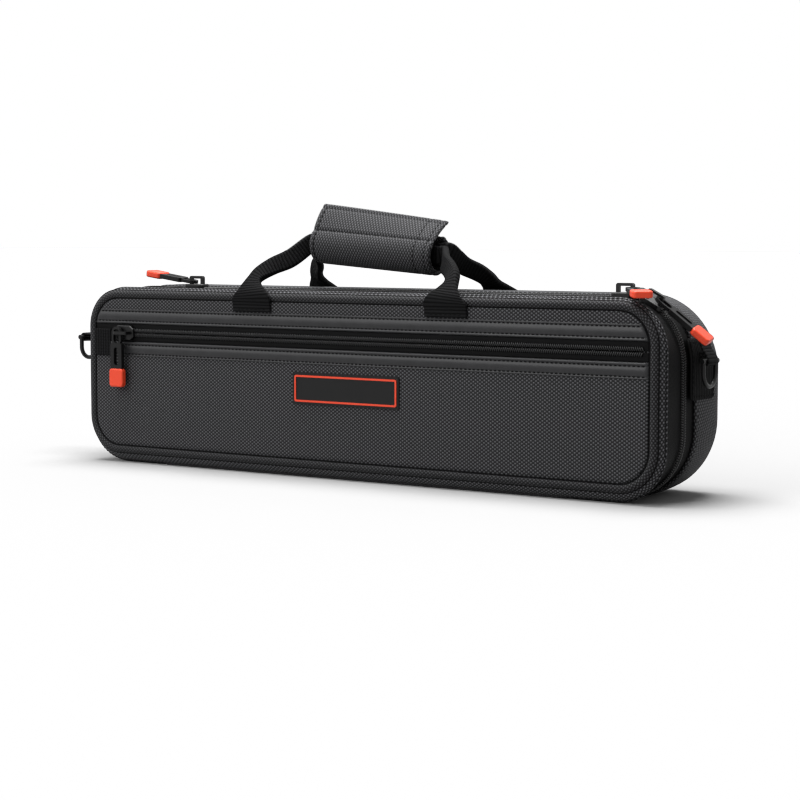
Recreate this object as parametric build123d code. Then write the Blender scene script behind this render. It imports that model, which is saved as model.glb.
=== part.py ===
from build123d import *
from math import cos, degrees, pi, radians, sin, sqrt
import os

# Flute carrying case that stands on its long side: two fabric-covered foam trays closed by a
# zipper round three sides, with a fabric hinge along the bottom. X is its length, +Y its
# rear, +Z up. The origin lies on the surface it stands on, under the middle.

# Body
body_length = 430.0
body_depth = 80.0
body_height = 116.0
lid_depth = 26.0  # front face to the plane of the zipper
rim_gap = 0.8  # between the rims of the two trays
front_corner = 28.0  # corner radius of the body at its front, at the zipper and at its rear
zip_corner = 38.0
zip_flat = 4.0  # the corners keep their radius this far each side of the zipper
rear_corner = 46.0
front_round = 8.0
rear_round = 14.0
cover_thick = 2.4
side_foam = 10.0
face_foam = 7.0
lining_thick = 1.2
beyond = 400.0  # reach of a cutting block, past the body on every side

# Front and rear panels, and the rolled edge round each
panel_thick = 1.2
pipe_radius = 2.8
pipe_proud = 1.8  # how far the rolled edge stands in front of its panel's bed
seam_side = 9.5  # from the body's outline in to the seam of the front panel
seam_top = 8.1
seam_bottom = 11.7
seam_corner = 19.0
rear_seam = 15.0
fit = 0.1

# Zipper of the body
tape_inset = 1.6
tape_thick = 0.8
front_tape_edge = 7.0  # front face to the outer edge of the front tape
rear_tape_width = 13.2
tape_gap = 1.6
tooth_pitch = 4.0
tooth_wide = 1.9
tooth_high = 1.3
tooth_long = 2.9
tooth_core = 0.4
tooth_seat = 0.02  # from the tape to the underside of a row
row_gap = 0.4
zip_end = 150.0  # the zipper stops this far from the middle, under the bottom
hinge_thick = 1.6
hinge_half = 6.0  # from the fold under the bottom to the edge of each cover

# Pocket on the front
pocket_zip_drop = 30.3  # top of the body down to the middle of the pocket's zipper
pocket_tape_half = 5.8
pocket_tape_gap = 0.6
upper_trim_wide = 9.5
lower_trim_wide = 9.5
trim_thick = 1.7
pocket_tape_thick = 0.8
pocket_pitch = 4.4
garage_length = 15.0
garage_wide = 17.5
garage_thick = 0.7

# Sliders and pulls
slider_length = 15.0
slider_wide = 9.6
slider_nose = 5.2
plate_thick = 1.5
plate_gap = 0.25
flange_lift = 0.3
arch_length = 11.0
arch_leg = 1.8
arch_wide = 2.0
arch_window = 3.8
arch_bar = 1.4
pull_ring_hole = 2.4
pull_ring_wall = 1.6
pull_ring_long = 4.4
pull_ring_thick = 1.9
pull_length = 35.5  # from the slider's leg to the end of the tip
pull_stem_wide = 9.6
pull_stem_thick = 2.8
pull_window_wide = 3.6
pull_tip_wide = 11.6
pull_tip_long = 12.0
pull_tip_thick = 4.0
pull_pivot_lift = 1.8
slider_1_from_end = 38.0  # from the body's right end
slider_2_angle = 27.0  # round the top right corner, from the upright
slider_3_from_end = 76.0  # from the body's left end
pocket_slider_run = 12.5  # from the cloth over the zipper's left end
pull_1_heading = (0.60, -0.79, -0.055)
pull_2_droop = 40.0
pull_2_yaw = 12.0
pull_3_lift = 8.0

# Carrying rings
ring_wire = 1.25
ring_bar_radius = 1.4
ring_bar_proud = 0.5
ring_half = 9.0
ring_drop = 17.0
ring_offset = 6.0  # behind the middle of the body
ring_below_top = 37.0
left_ring_reach = 39.0
right_ring_reach = 5.2
tab_wide = 12.0
tab_thick = 1.2
tab_rise = 12.0  # of the right loop's sewn end above the bar
bar_fit = 0.2  # webbing round the bar
patch_wide = 30.0
patch_high = 35.0
patch_thick = 0.9
patch_back = 1.0  # middle of the patch behind the ring's middle
patch_drop = 4.5  # middle of the patch below the ring's bar
patch_corner = 2.5

# Handle
strap_wide = 30.0
strap_thick = 1.8
strap_foot = 72.5  # middle of the handle to the middle of a strap's foot
rear_right_foot = 64.0  # the rear strap's right foot is nearer the grip
strap_foot_gap = 0.8  # above the pocket's upper trim
strap_lane_gap = 0.4
# Course of a strap's leg: towards the grip, out from the face, above the body, lean, width, thickness
front_course = (
    (0.0, 0.1, -10.0, 0.0, 30.0, 1.8),
    (0.0, 1.3, -5.7, 0.0, 29.6, 1.8),
    (-0.3, 1.2, -2.0, 2.0, 24.0, 2.0),
    (-0.8, -0.8, 1.8, 5.0, 15.5, 2.8),
    (-1.0, -4.2, 5.6, 12.0, 9.6, 4.4),
    (0.8, -8.4, 9.6, 36.0, 9.4, 5.0),
    (6.5, -14.2, 13.8, 60.0, 10.6, 4.4),
    (14.5, -21.6, 18.0, 74.0, 11.4, 4.2),
)
rear_course = (
    (0.0, 0.2, -9.5, 0.0, 30.0, 1.8),
    (0.0, -0.6, -6.0, 0.0, 29.0, 1.8),
    (0.8, -4.2, -2.2, 2.0, 25.0, 2.0),
    (2.0, -9.8, 1.2, 5.0, 19.0, 2.6),
    (3.0, -14.6, 4.2, 12.0, 13.0, 3.6),
    (4.2, -18.6, 7.6, 36.0, 10.4, 4.6),
    (8.5, -24.5, 11.6, 60.0, 10.8, 4.4),
    (16.5, -33.0, 16.4, 76.0, 11.4, 4.2),
)
strap_entry_out = 1.0  # before the wrap's end, and the stretch that leads to it
strap_entry_lead = 4.6
grip_length = 90.0
grip_depth_at = -5.0
grip_rise = 25.0  # middle of the grip above the body
grip_tilt = 4.5
grip_radius = 12.5
grip_pad = 3.6
grip_flap_long = 20.5
grip_flap_slope = 49.0
grip_seam_angle = -75.0
grip_fold_angle = 140.0
grip_back_end = 70.0
strap_inside_high = 11.0
rear_inside_high = 14.6  # the rear run fills the wrap that is sewn to it
strap_inside_thick = 4.2

# Inside
bed_top = 8.0  # below the rim of the rear tray
bed_wall_high = 14.5  # of the walls that are glued on the bed's base
glue_line = 0.1
trough_end = 16.0  # from the inside of the tray to the end of a lower trough
trough_radius = 14.0
trough_depth = 22.0
body_trough_long = 352.0
head_trough_long = 222.0
foot_trough_long = 112.0
trough_rise = 21.5  # of each row of troughs, from the middle height
lid_pad_thick = 7.0
lid_pad_gap = 4.0

# Label
label_length = 79.6
label_high = 19.6
label_shift = -0.6
label_drop = 5.2  # below the pocket's lower trim
label_thick = 1.0
label_frame = 1.1
label_frame_inset = 1.6
label_frame_proud = 0.4

half_length = body_length / 2
front_face = -body_depth / 2
rear_face = body_depth / 2
zip_at = front_face + lid_depth
front_bed = front_face + pipe_proud
rear_bed = rear_face - pipe_proud
mid_height = body_height / 2
pocket_zip_height = body_height - pocket_zip_drop
ring_height = body_height - ring_below_top
grip_height = body_height + grip_rise


def corner_at(y):
    """Corner radius of the body in the plane y: it grows from the front to the rear."""
    stops = (
        (front_face, front_corner),
        (zip_at - zip_flat, zip_corner),
        (zip_at + zip_flat, zip_corner),
        (rear_face, rear_corner),
    )
    for (y0, r0), (y1, r1) in zip(stops, stops[1:]):
        if y <= y1:
            return r0 + (r1 - r0) * max(y - y0, 0.0) / (y1 - y0)
    return rear_corner


def upright_plane(y, height=mid_height):
    """Drawing plane across the body: its x is the case's X, its y is up, its normal is -Y."""
    return Plane(origin=(0, y, height), x_dir=(1, 0, 0), z_dir=(0, -1, 0))


def corner_waste(y, inset, right, up):
    """What a rounded corner leaves of a square one; right and up are 1 or -1."""
    radius = corner_at(y) - inset
    x = half_length - inset - radius
    z = mid_height - inset - radius
    past = radius + front_corner / 4
    arc_end = (right * (x + radius), up * z)
    arc_start = (right * x, up * (z + radius))
    arc_middle = (right * (x + radius / sqrt(2)), up * (z + radius / sqrt(2)))
    corners = [
        arc_end,
        (right * (x + past), up * z),
        (right * (x + past), up * (z + past)),
        (right * x, up * (z + past)),
        arc_start,
    ]
    lines = [Line(a, b) for a, b in zip(corners, corners[1:])]
    return upright_plane(y) * make_face([ThreePointArc(arc_start, arc_middle, arc_end), *lines])


def block(y0, y1, inset):
    """The body's full form between two planes, drawn in by inset."""
    solid = Pos(0, (y0 + y1) / 2, mid_height) * Box(
        body_length - 2 * inset, y1 - y0, body_height - 2 * inset
    )
    bends = [y for y in (zip_at - zip_flat, zip_at + zip_flat) if y0 < y < y1]
    stops = [y0, *bends, y1]
    waste = []
    for right in (-1, 1):
        for up in (-1, 1):
            faces = [corner_waste(y, inset, right, up) for y in stops]
            waste += [loft([a, b], ruled=True) for a, b in zip(faces, faces[1:])]
    return solid - waste


def ring(y0, y1, outer, inner):
    return block(y0, y1, outer) - block(y0 - 1, y1 + 1, inner)


def face_loop(solid, y):
    """Edges of a solid that lie in the plane y, round its outside."""
    return solid.faces().sort_by(Axis.Y)[0 if y < 0 else -1].outer_wire().edges()


def half_form(side, inset):
    """Front (side -1) or rear (side 1) half of the body up to its rim, with a rounded face."""
    rim = zip_at + side * rim_gap / 2
    if side < 0:
        solid = block(front_bed + inset, rim, inset)
        return fillet(face_loop(solid, -1), front_round - inset)
    solid = block(rim, rear_bed - inset, inset)
    return fillet(face_loop(solid, 1), rear_round - inset)


def slab(y0, y1, x0=-beyond, x1=beyond, z0=-beyond, z1=beyond):
    size = (x1 - x0, y1 - y0, z1 - z0)
    middle = ((x0 + x1) / 2, (y0 + y1) / 2, (z0 + z1) / 2)
    return Pos(*middle) * Box(*size)


def seam_face(y, grow):
    """Outline of the front panel's seam, grown outwards."""
    width = body_length - 2 * seam_side + 2 * grow
    height = body_height - seam_top - seam_bottom + 2 * grow
    middle = (seam_bottom + body_height - seam_top) / 2
    return upright_plane(y, middle) * RectangleRounded(width, height, seam_corner + grow)


def rear_seam_face(y, grow):
    width = body_length - 2 * rear_seam + 2 * grow
    height = body_height - 2 * rear_seam + 2 * grow
    corner = rear_corner - rear_seam + grow
    return upright_plane(y) * RectangleRounded(width, height, corner)


def rolled_edge(face, y):
    """Tube that follows a face's outline, lying in the plane y."""
    path = face.face().outer_wire()
    start = path @ 0
    section = Plane(origin=start, z_dir=path % 0) * Circle(pipe_radius)
    return sweep(section, path=path)


def front_piping():
    y = front_face + pipe_radius
    return rolled_edge(seam_face(y, pipe_radius + fit), y)


def rear_piping():
    y = rear_face - pipe_radius
    return rolled_edge(rear_seam_face(y, pipe_radius + fit), y)


def under_hinge(y0, y1):
    """Block under the bottom between the zipper's two ends."""
    return slab(y0, y1, fit - zip_end, zip_end - fit, z1=2 * cover_thick)


def front_cover():
    """Fabric over the front tray's face and edge, up to the zipper's tape and the hinge."""
    edge = front_face + front_tape_edge
    skin = half_form(-1, 0) - half_form(-1, cover_thick)
    cut = slab(edge, rear_face) - under_hinge(edge - fit, zip_at - hinge_half)
    return skin - cut - front_piping()


def rear_cover():
    """Fabric over the rear tray, with the flat face that the body stands on."""
    edge = zip_at + tape_gap / 2 + rear_tape_width
    skin = half_form(1, 0) - half_form(1, cover_thick)
    cut = slab(front_face, edge) - under_hinge(zip_at + hinge_half, edge + fit)
    return skin - cut - rear_piping()


def cavity(side, inset):
    """Hollow of one tray, drawn in by inset."""
    sides = cover_thick + side_foam + inset
    if side < 0:
        floor = front_bed + cover_thick + face_foam + inset
        return block(floor, zip_at + 1, sides)
    floor = rear_bed - cover_thick - face_foam - inset
    return block(zip_at - 1, floor, sides)


def tray(side):
    piping = front_piping() if side < 0 else rear_piping()
    return half_form(side, cover_thick) - cavity(side, 0) - piping


def lining(side):
    rim = zip_at + side * rim_gap / 2
    skin = cavity(side, 0) - cavity(side, lining_thick)
    cut = slab(rim, beyond) if side < 0 else slab(-beyond, rim)
    return skin - cut


def tape_ring(side):
    """Tape of the body's zipper: a strip round the tray, left open under the bottom."""
    if side < 0:
        span = (front_face + front_tape_edge, zip_at - tape_gap / 2)
    else:
        span = (zip_at + tape_gap / 2, zip_at + tape_gap / 2 + rear_tape_width)
    strip = ring(*span, tape_inset, tape_inset + tape_thick)
    return strip - slab(span[0] - 1, span[1] + 1, -zip_end, zip_end, z1=zip_corner / 2)


def walk(distance, radius_in):
    """Point and outward direction on the zipper's run, distance from its left end."""
    straight_x = half_length - zip_corner
    straight_z = body_height - 2 * zip_corner
    high = body_height - zip_corner
    arc = radius_in * pi / 2
    runs = (
        ("line", straight_x - zip_end, (-zip_end, zip_corner - radius_in), (-1, 0), (0, -1)),
        ("arc", arc, (-straight_x, zip_corner), 270, -1),
        ("line", straight_z, (-straight_x - radius_in, zip_corner), (0, 1), (-1, 0)),
        ("arc", arc, (-straight_x, high), 180, -1),
        ("line", 2 * straight_x, (-straight_x, high + radius_in), (1, 0), (0, 1)),
        ("arc", arc, (straight_x, high), 90, -1),
        ("line", straight_z, (straight_x + radius_in, high), (0, -1), (1, 0)),
        ("arc", arc, (straight_x, zip_corner), 0, -1),
        ("line", straight_x - zip_end, (straight_x, zip_corner - radius_in), (-1, 0), (0, -1)),
    )
    for kind, length, at, heading, outward in runs:
        if distance <= length + 1e-6:
            if kind == "line":
                point = (at[0] + heading[0] * distance, at[1] + heading[1] * distance)
                return point, outward
            angle = radians(heading - degrees(distance / radius_in))
            out = (cos(angle), sin(angle))
            return (at[0] + radius_in * out[0], at[1] + radius_in * out[1]), out
        distance -= length
    return point, outward


def zip_run_length(radius_in):
    straight_x = half_length - zip_corner
    straight_z = body_height - 2 * zip_corner
    return 2 * (straight_x - zip_end) + 2 * pi * radius_in + 2 * straight_z + 2 * straight_x


def tooth_row(side):
    """One row of teeth round the body: a thin core with a rib for each tooth."""
    base = zip_corner - tape_inset
    length = zip_run_length(base)
    count = int(length / tooth_pitch) - 1
    margin = (length - count * tooth_pitch) / 2
    outer = []
    for k in range(count):
        start = margin + (k + 0.25 + 0.25 * side) * tooth_pitch
        for distance, height in (
            (start, tooth_core),
            (start, tooth_high),
            (start + tooth_wide, tooth_high),
            (start + tooth_wide, tooth_core),
        ):
            (x, z), (nx, nz) = walk(distance, base)
            outer.append((x + nx * height, z + nz * height))
    seats = [walk(margin + k * tooth_pitch / 2, base) for k in range(2 * count + 1)]
    inner = [(x + nx * tooth_seat, z + nz * tooth_seat) for (x, z), (nx, nz) in seats]
    points = outer + inner[::-1]
    y = zip_at + side * row_gap / 2 if side > 0 else zip_at - row_gap / 2 - tooth_long
    plane = Plane(origin=(0, y, 0), x_dir=(1, 0, 0), z_dir=(0, -1, 0))
    drawing = plane * make_face(Polyline(*points, close=True))
    return extrude(drawing, -tooth_long)


def hinge_gusset():
    """Woven strip under the bottom that joins the halves and bends as the lid opens."""
    y0 = zip_at - hinge_half + fit
    y1 = zip_at + hinge_half - fit
    top = cover_thick - fit
    x = zip_end - fit
    strip = slab(y0, y1, -x, x, top - hinge_thick, top)
    return fillet(strip.edges().filter_by(Axis.Y).group_by(Axis.Z)[0], hinge_thick / 4)


def clipped_band(z0, z1, y0, y1, x0=-beyond, x1=beyond, gap=fit):
    """Part of the front panel's outline between two heights."""
    prism = extrude(seam_face(y1, -gap), y1 - y0)
    return prism & slab(y0 - 1, y1 + 1, x0, x1, z0, z1)


def pocket_levels():
    """Heights of the borders between the strips of the front, from the top down."""
    top_tape = pocket_zip_height + pocket_tape_half
    low_tape = pocket_zip_height - pocket_tape_half
    return top_tape + upper_trim_wide, top_tape, low_tape, low_tape - lower_trim_wide


def top_strip():
    trim_top = pocket_levels()[0]
    return clipped_band(trim_top + fit, body_height, front_bed - panel_thick, front_bed)


def pocket_panel():
    trim_low = pocket_levels()[3]
    return clipped_band(0, trim_low - fit, front_bed - panel_thick, front_bed)


def trim(z0, z1):
    band = clipped_band(z0, z1, front_bed - trim_thick, front_bed)
    front = band.faces().sort_by(Axis.Y)[0]
    rims = [e for e in front.edges() if e.geom_type == GeomType.LINE and e.length > 100]
    return fillet(rims, 0.5)


def pocket_upper_trim():
    levels = pocket_levels()
    return trim(levels[1], levels[0])


def pocket_lower_trim():
    levels = pocket_levels()
    return trim(levels[3], levels[2])


def pocket_tape(side):
    z = (pocket_zip_height, pocket_zip_height + side * pocket_tape_half)
    z0 = min(z) + (pocket_tape_gap / 2 if side > 0 else fit)
    z1 = max(z) - (fit if side > 0 else pocket_tape_gap / 2)
    x0 = garage_edge() + fit
    return clipped_band(z0, z1, front_bed - pocket_tape_thick, front_bed, x0=x0)


def garage_edge():
    """X where the cloth that covers the left end of the pocket's zipper stops."""
    return -half_length + seam_side + garage_length


def pocket_garage():
    """Ribbed cloth sewn over the lower trim and the left end of the pocket's zipper."""
    low = pocket_levels()[3]
    border = pocket_levels()[2]
    y = front_bed - trim_thick
    over = clipped_band(low, low + garage_wide, y - fit - garage_thick, y - fit, x1=garage_edge())
    core = clipped_band(border + fit, low + garage_wide, y - fit, front_bed, x1=garage_edge())
    return over + core


def pocket_teeth():
    """Both rows of the pocket's teeth."""
    y1 = front_bed - pocket_tape_thick
    x0 = garage_edge() + 1
    x1 = half_length - seam_side - 3.0
    rows = []
    for side in (-1, 1):
        near = pocket_zip_height + side * row_gap / 2
        far = near + side * tooth_long
        z0, z1 = min(near, far), max(near, far)
        count = int((x1 - x0) / pocket_pitch)
        points = [(x0, y1)]
        for k in range(count):
            start = x0 + (k + 0.25 + 0.25 * side) * pocket_pitch
            points += [
                (start, y1 - tooth_core),
                (start, y1 - tooth_high),
                (start + tooth_wide, y1 - tooth_high),
                (start + tooth_wide, y1 - tooth_core),
            ]
        points.append((x0 + count * pocket_pitch, y1))
        drawing = Plane.XY.offset(z0) * make_face(Polyline(*points, close=True))
        rows.append(extrude(drawing, z1 - z0))
    return Compound(children=rows)


def label_plane():
    """Plane on the pocket panel, its origin in the label's middle."""
    z = pocket_levels()[3] - label_drop - label_high / 2
    return Plane(origin=(label_shift, front_bed - panel_thick, z), x_dir=(1, 0, 0), z_dir=(0, -1, 0))


def label_patch():
    plate = extrude(label_plane() * RectangleRounded(label_length, label_high, 1.5), label_thick)
    return plate - label_frame_solid()


def label_frame_solid():
    """Raised rubber line round the label, let into the plate."""
    plane = label_plane().offset(label_thick - label_frame_proud)
    inset = 2 * label_frame_inset
    outer = RectangleRounded(label_length - inset, label_high - inset, 1.2)
    inner = RectangleRounded(
        label_length - inset - 2 * label_frame, label_high - inset - 2 * label_frame, 0.6
    )
    return extrude(plane * (outer - inner), 2 * label_frame_proud)


def rear_panel():
    face = rear_seam_face(rear_bed, -fit)
    return extrude(face, -panel_thick)


# Sliders and pulls are drawn in their own frame: x along the zipper, z away from the tape,
# the origin on the tape under the slider's middle.


def slider_form():
    base = tooth_high + plate_gap
    half = slider_length / 2
    wide = slider_wide / 2
    nose = slider_nose / 2
    outline_points = [
        (-half, -nose), (-half + 3.0, -wide), (half - 1.5, -wide), (half, -wide + 1.5),
        (half, wide - 1.5), (half - 1.5, wide), (-half + 3.0, wide), (-half, nose),
    ]
    plan = make_face(Polyline(*outline_points, close=True))
    full = extrude(Plane.XY.offset(flange_lift) * plan, base + plate_thick - flange_lift)
    top = full.faces().sort_by(Axis.Z)[-1]
    full = fillet(top.outer_wire().edges(), 0.6)
    channel_half = tooth_long + row_gap / 2 + plate_gap
    channel = Pos(0, 0, base / 2) * Box(2 * slider_length, 2 * channel_half, base)
    return full - channel + slider_arch(base + plate_thick)


def slider_arch(base):
    """Bridge that carries the pull: two legs and a bar."""
    height = arch_window + arch_bar
    sunk = 0.3
    plane = Plane(origin=(0, 0, base - sunk), x_dir=(1, 0, 0), z_dir=(0, -1, 0))
    outer = Pos(0, (height + sunk) / 2) * Rectangle(arch_length, height + sunk)
    window = Pos(0, (arch_window + sunk) / 2) * Rectangle(arch_length - 2 * arch_leg, arch_window + sunk)
    arch = extrude(plane * (outer - window), arch_wide / 2, both=True)
    shoulders = arch.edges().filter_by(Axis.Y).group_by(Axis.Z)[-1]
    return fillet(shoulders, 1.2)


def pull_height():
    return tooth_high + plate_gap + plate_thick + pull_pivot_lift


def stadium(radius, length):
    """Slot outline from the origin along +x."""
    return Pos(length / 2, 0) * SlotCenterToCenter(length, 2 * radius)


def pull_stem():
    """Ring and moulded stem of a pull, with the window through it."""
    ring_outer = stadium(pull_ring_hole + pull_ring_wall, pull_ring_long)
    ring_hole = stadium(pull_ring_hole, pull_ring_long)
    ring_plate = extrude(ring_outer - ring_hole, pull_ring_thick / 2, both=True)
    stem_start = pull_ring_long + pull_ring_hole
    stem_end = pull_length - pull_tip_long
    stem_long = stem_end - stem_start
    middle = (stem_start + stem_end) / 2
    plate = Pos(middle, 0) * RectangleRounded(stem_long, pull_stem_wide, 1.4)
    square_end = Pos(stem_end - 1.5, 0) * Rectangle(3.0, pull_stem_wide)
    window_long = stem_long - 5.0
    window = Pos(middle + 0.3, 0) * SlotOverall(window_long, pull_window_wide)
    stem = extrude(plate + square_end - window, pull_stem_thick / 2, both=True)
    return ring_plate + stem


def pull_tip():
    middle = pull_length - pull_tip_long / 2
    face = Pos(middle, 0) * RectangleRounded(pull_tip_long, pull_tip_wide, 2.2)
    solid = extrude(face, pull_tip_thick / 2, both=True)
    ends = solid.faces().sort_by(Axis.Z)
    loops = [*ends[0].edges(), *ends[-1].edges()]
    return fillet(loops, 1.0)


def slider_places():
    """Location of each slider on its tape: name, frame."""
    corner_x = half_length - zip_corner
    corner_z = body_height - zip_corner
    reach = zip_corner - tape_inset
    turn = radians(slider_2_angle)
    top = body_height - tape_inset
    pocket_y = front_bed - pocket_tape_thick
    return {
        "slider_1": Plane(
            origin=(half_length - slider_1_from_end, zip_at, top),
            x_dir=(-1, 0, 0),
            z_dir=(0, 0, 1),
        ),
        "slider_2": Plane(
            origin=(corner_x + reach * sin(turn), zip_at, corner_z + reach * cos(turn)),
            x_dir=(cos(turn), 0, -sin(turn)),
            z_dir=(sin(turn), 0, cos(turn)),
        ),
        "slider_3": Plane(
            origin=(slider_3_from_end - half_length, zip_at, top),
            x_dir=(-1, 0, 0),
            z_dir=(0, 0, 1),
        ),
        "pocket_slider": Plane(
            origin=(garage_edge() + pocket_slider_run, pocket_y, pocket_zip_height),
            x_dir=(-1, 0, 0),
            z_dir=(0, -1, 0),
        ),
    }


def leg_point(frame, side):
    """Middle of the pull's ring, round one leg of the slider's arch."""
    shift = side * (arch_length - arch_leg) / 2
    return frame.origin + frame.x_dir * shift + frame.z_dir * pull_height()


def pull_places():
    """Frame of each pull: x along it, y its hinge or width, z its face."""
    places = slider_places()
    heading_1 = Vector(*pull_1_heading).normalized()
    side_1 = Vector(0, 0, 1).cross(heading_1).normalized()
    droop = radians(pull_2_droop)
    yaw = radians(pull_2_yaw)
    flat_2 = Vector(cos(droop), 0, -sin(droop))
    heading_2 = flat_2 * cos(yaw) + Vector(0, 1, 0) * sin(yaw)
    side_2 = (Vector(0, 1, 0) * cos(yaw) - flat_2 * sin(yaw))
    lift = radians(pull_3_lift)
    heading_3 = Vector(-cos(lift), 0, sin(lift))
    return {
        "pull_1": Plane(leg_point(places["slider_1"], -1), x_dir=heading_1, z_dir=heading_1.cross(side_1)),
        "pull_2": Plane(leg_point(places["slider_2"], 1), x_dir=heading_2, z_dir=heading_2.cross(side_2)),
        "pull_3": Plane(
            leg_point(places["slider_3"], 1), x_dir=heading_3, z_dir=(sin(lift), 0, cos(lift))
        ),
        "pocket_pull": Plane(leg_point(places["pocket_slider"], 1), x_dir=(0, 0, -1), z_dir=(0, -1, 0)),
    }


# Rings for a shoulder strap, one at each end


def ring_bar(side):
    reach = right_ring_reach if side > 0 else left_ring_reach
    return Vector(side * (half_length + reach), ring_offset, ring_height)


def d_ring(side):
    """Round wire bent to a U in the plane of its end, closed by a straight bar."""
    bar = ring_bar(side)
    plane = Plane(origin=bar, x_dir=(0, 1, 0), z_dir=(1, 0, 0))
    half = ring_half - ring_wire
    straight = ring_drop - ring_bar_radius - ring_wire - half
    left = plane * Line((-half, -straight), (-half, 0))
    bow = plane * ThreePointArc((half, -straight), (0, -straight - half), (-half, -straight))
    right = plane * Line((half, 0), (half, -straight))
    path = Wire([right.edge(), bow.edge(), left.edge()])
    wire = sweep(Plane(origin=path @ 0, z_dir=path % 0) * Circle(ring_wire), path=path)
    bar_half = ring_half + ring_bar_proud
    across = Plane(origin=bar - Vector(0, bar_half, 0), x_dir=(1, 0, 0), z_dir=(0, 1, 0))
    return wire + extrude(across * Circle(ring_bar_radius), 2 * bar_half)


def webbing_loop(side):
    """Webbing folded round the ring's bar, its two layers sewn to the patch."""
    bar = ring_bar(side)
    bore = ring_bar_radius + bar_fit
    outer = bore + tab_thick
    wall = side * (half_length + patch_thick)
    plane = Plane(origin=(0, ring_offset + tab_wide / 2, 0), x_dir=(1, 0, 0), z_dir=(0, -1, 0))
    if side > 0:
        end_z = bar.Z + tab_rise
        lead = [(wall, bar.Z), (bar.X + outer, bar.Z), (wall + 1.6 * tab_thick, end_z), (wall, end_z)]
    else:
        near = [(wall, bar.Z + tab_thick), (wall, bar.Z - tab_thick)]
        lead = [(bar.X, bar.Z + outer), *near, (bar.X, bar.Z - outer)]
    shape = Pos(bar.X, bar.Z) * Circle(outer) + make_face(Polyline(*lead, close=True))
    keep = Pos(wall + side * beyond / 2, bar.Z) * Rectangle(beyond, beyond)
    return extrude(plane * ((shape & keep) - Pos(bar.X, bar.Z) * Circle(bore)), tab_wide)


def ring_patch(side):
    """Patch of webbing sewn on the end under the loop, which follows the end's corners."""
    y = ring_offset + patch_back
    middle = Plane(origin=(0, y, ring_height - patch_drop), x_dir=(0, 1, 0), z_dir=(side, 0, 0))
    shell = ring(y - patch_wide, y + patch_wide / 2 + 1, -patch_thick, 0)
    return shell & extrude(middle * RectangleRounded(patch_wide, patch_high, patch_corner), beyond)


# Handle


def strap_stations(side, end):
    """Sections of one leg of a strap from its foot to the grip.

    side is -1 for the strap of the front half and 1 for the rear one; end is -1 for the
    left leg and 1 for the right one. Each section is its middle, the lean of its width from
    the level to the upright, its width and its thickness.
    """
    face = (front_bed - panel_thick if side < 0 else rear_face) + side * strap_thick / 2
    low = pocket_levels()[0] + strap_foot_gap
    slope = -end * sin(radians(grip_tilt))
    lane = grip_depth_at + side * (strap_inside_thick / 2 + strap_lane_gap)
    high = strap_inside_high if side < 0 else rear_inside_high
    foot = rear_right_foot if side > 0 and end > 0 else strap_foot
    entry = grip_length / 2 * cos(radians(grip_tilt)) + strap_entry_out
    shorter = (foot - entry - strap_entry_lead) / (strap_foot - entry - strap_entry_lead)
    stations = [(Vector(end * foot, face, low), 0.0, strap_wide, strap_thick)]
    course = front_course if side < 0 else rear_course
    for inward, back, rise, lean, wide, thick in course:
        z = body_height + rise + slope * max(inward, 0.0)
        at = Vector(end * (foot - inward * shorter), face + side * back, z)
        stations.append((at, lean, wide, thick))
    for out in (strap_entry_lead, 0.0):
        at = Vector(end * (entry + out), lane, grip_height + slope * grip_length / 2)
        stations.append((at, 90.0, high, strap_inside_thick))
    return stations


def section_face(station, end, heading):
    middle, lean, wide, thick = station
    across = Vector(end * cos(radians(lean)), 0, sin(radians(lean)))
    across = across - heading * across.dot(heading)
    return Plane(origin=middle, x_dir=across, z_dir=heading) * Rectangle(wide, thick)


def strap_leg(side, end):
    """Leg of a strap: each section stands square to the line through its neighbours."""
    stations = strap_stations(side, end)
    places = [station[0] for station in stations]
    level = Vector(-end, 0, 0)
    before = [places[0] - Vector(0, 0, 1), *places[:-1]]
    after = [*places[1:], places[-1] + level]
    faces = []
    for station, a, b in zip(stations, before, after):
        heading = (b - a).normalized()
        if station in stations[-2:]:
            heading = level
        faces.append(section_face(station, end, heading))
    return loft(faces, ruled=True)


def handle_strap(side):
    """Webbing of one half: a foot at each end and a folded run through the grip."""
    left, right = (strap_stations(side, end)[-1] for end in (-1, 1))
    level = Vector(1, 0, 0)
    run = loft([section_face(left, -1, level), section_face(right, -1, level)], ruled=True)
    return strap_leg(side, -1) + run + strap_leg(side, 1)


def grip_plane():
    tilt = radians(grip_tilt)
    normal = Vector(cos(tilt), 0, -sin(tilt))
    origin = Vector(0, grip_depth_at, grip_height) - normal * (grip_length / 2)
    return Plane(origin=origin, x_dir=(0, 1, 0), z_dir=normal)


def arc_band(start, end, radius, thick):
    """Part of a ring between two angles, from its outer radius inwards."""
    points = []
    for r in (radius, radius - thick):
        for a in (start, (start + end) / 2, end):
            points.append((r * cos(radians(a)), r * sin(radians(a))))
    outer = ThreePointArc(points[0], points[1], points[2])
    inner = ThreePointArc(points[5], points[4], points[3])
    return make_face([outer, Line(points[2], points[5]), inner, Line(points[3], points[0])])


def grip_back():
    """Half of the padded wrap that is sewn to the rear strap."""
    face = arc_band(grip_seam_angle + 2.0, grip_back_end, grip_radius, grip_pad)
    return extrude(grip_plane() * face, grip_length)


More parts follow.
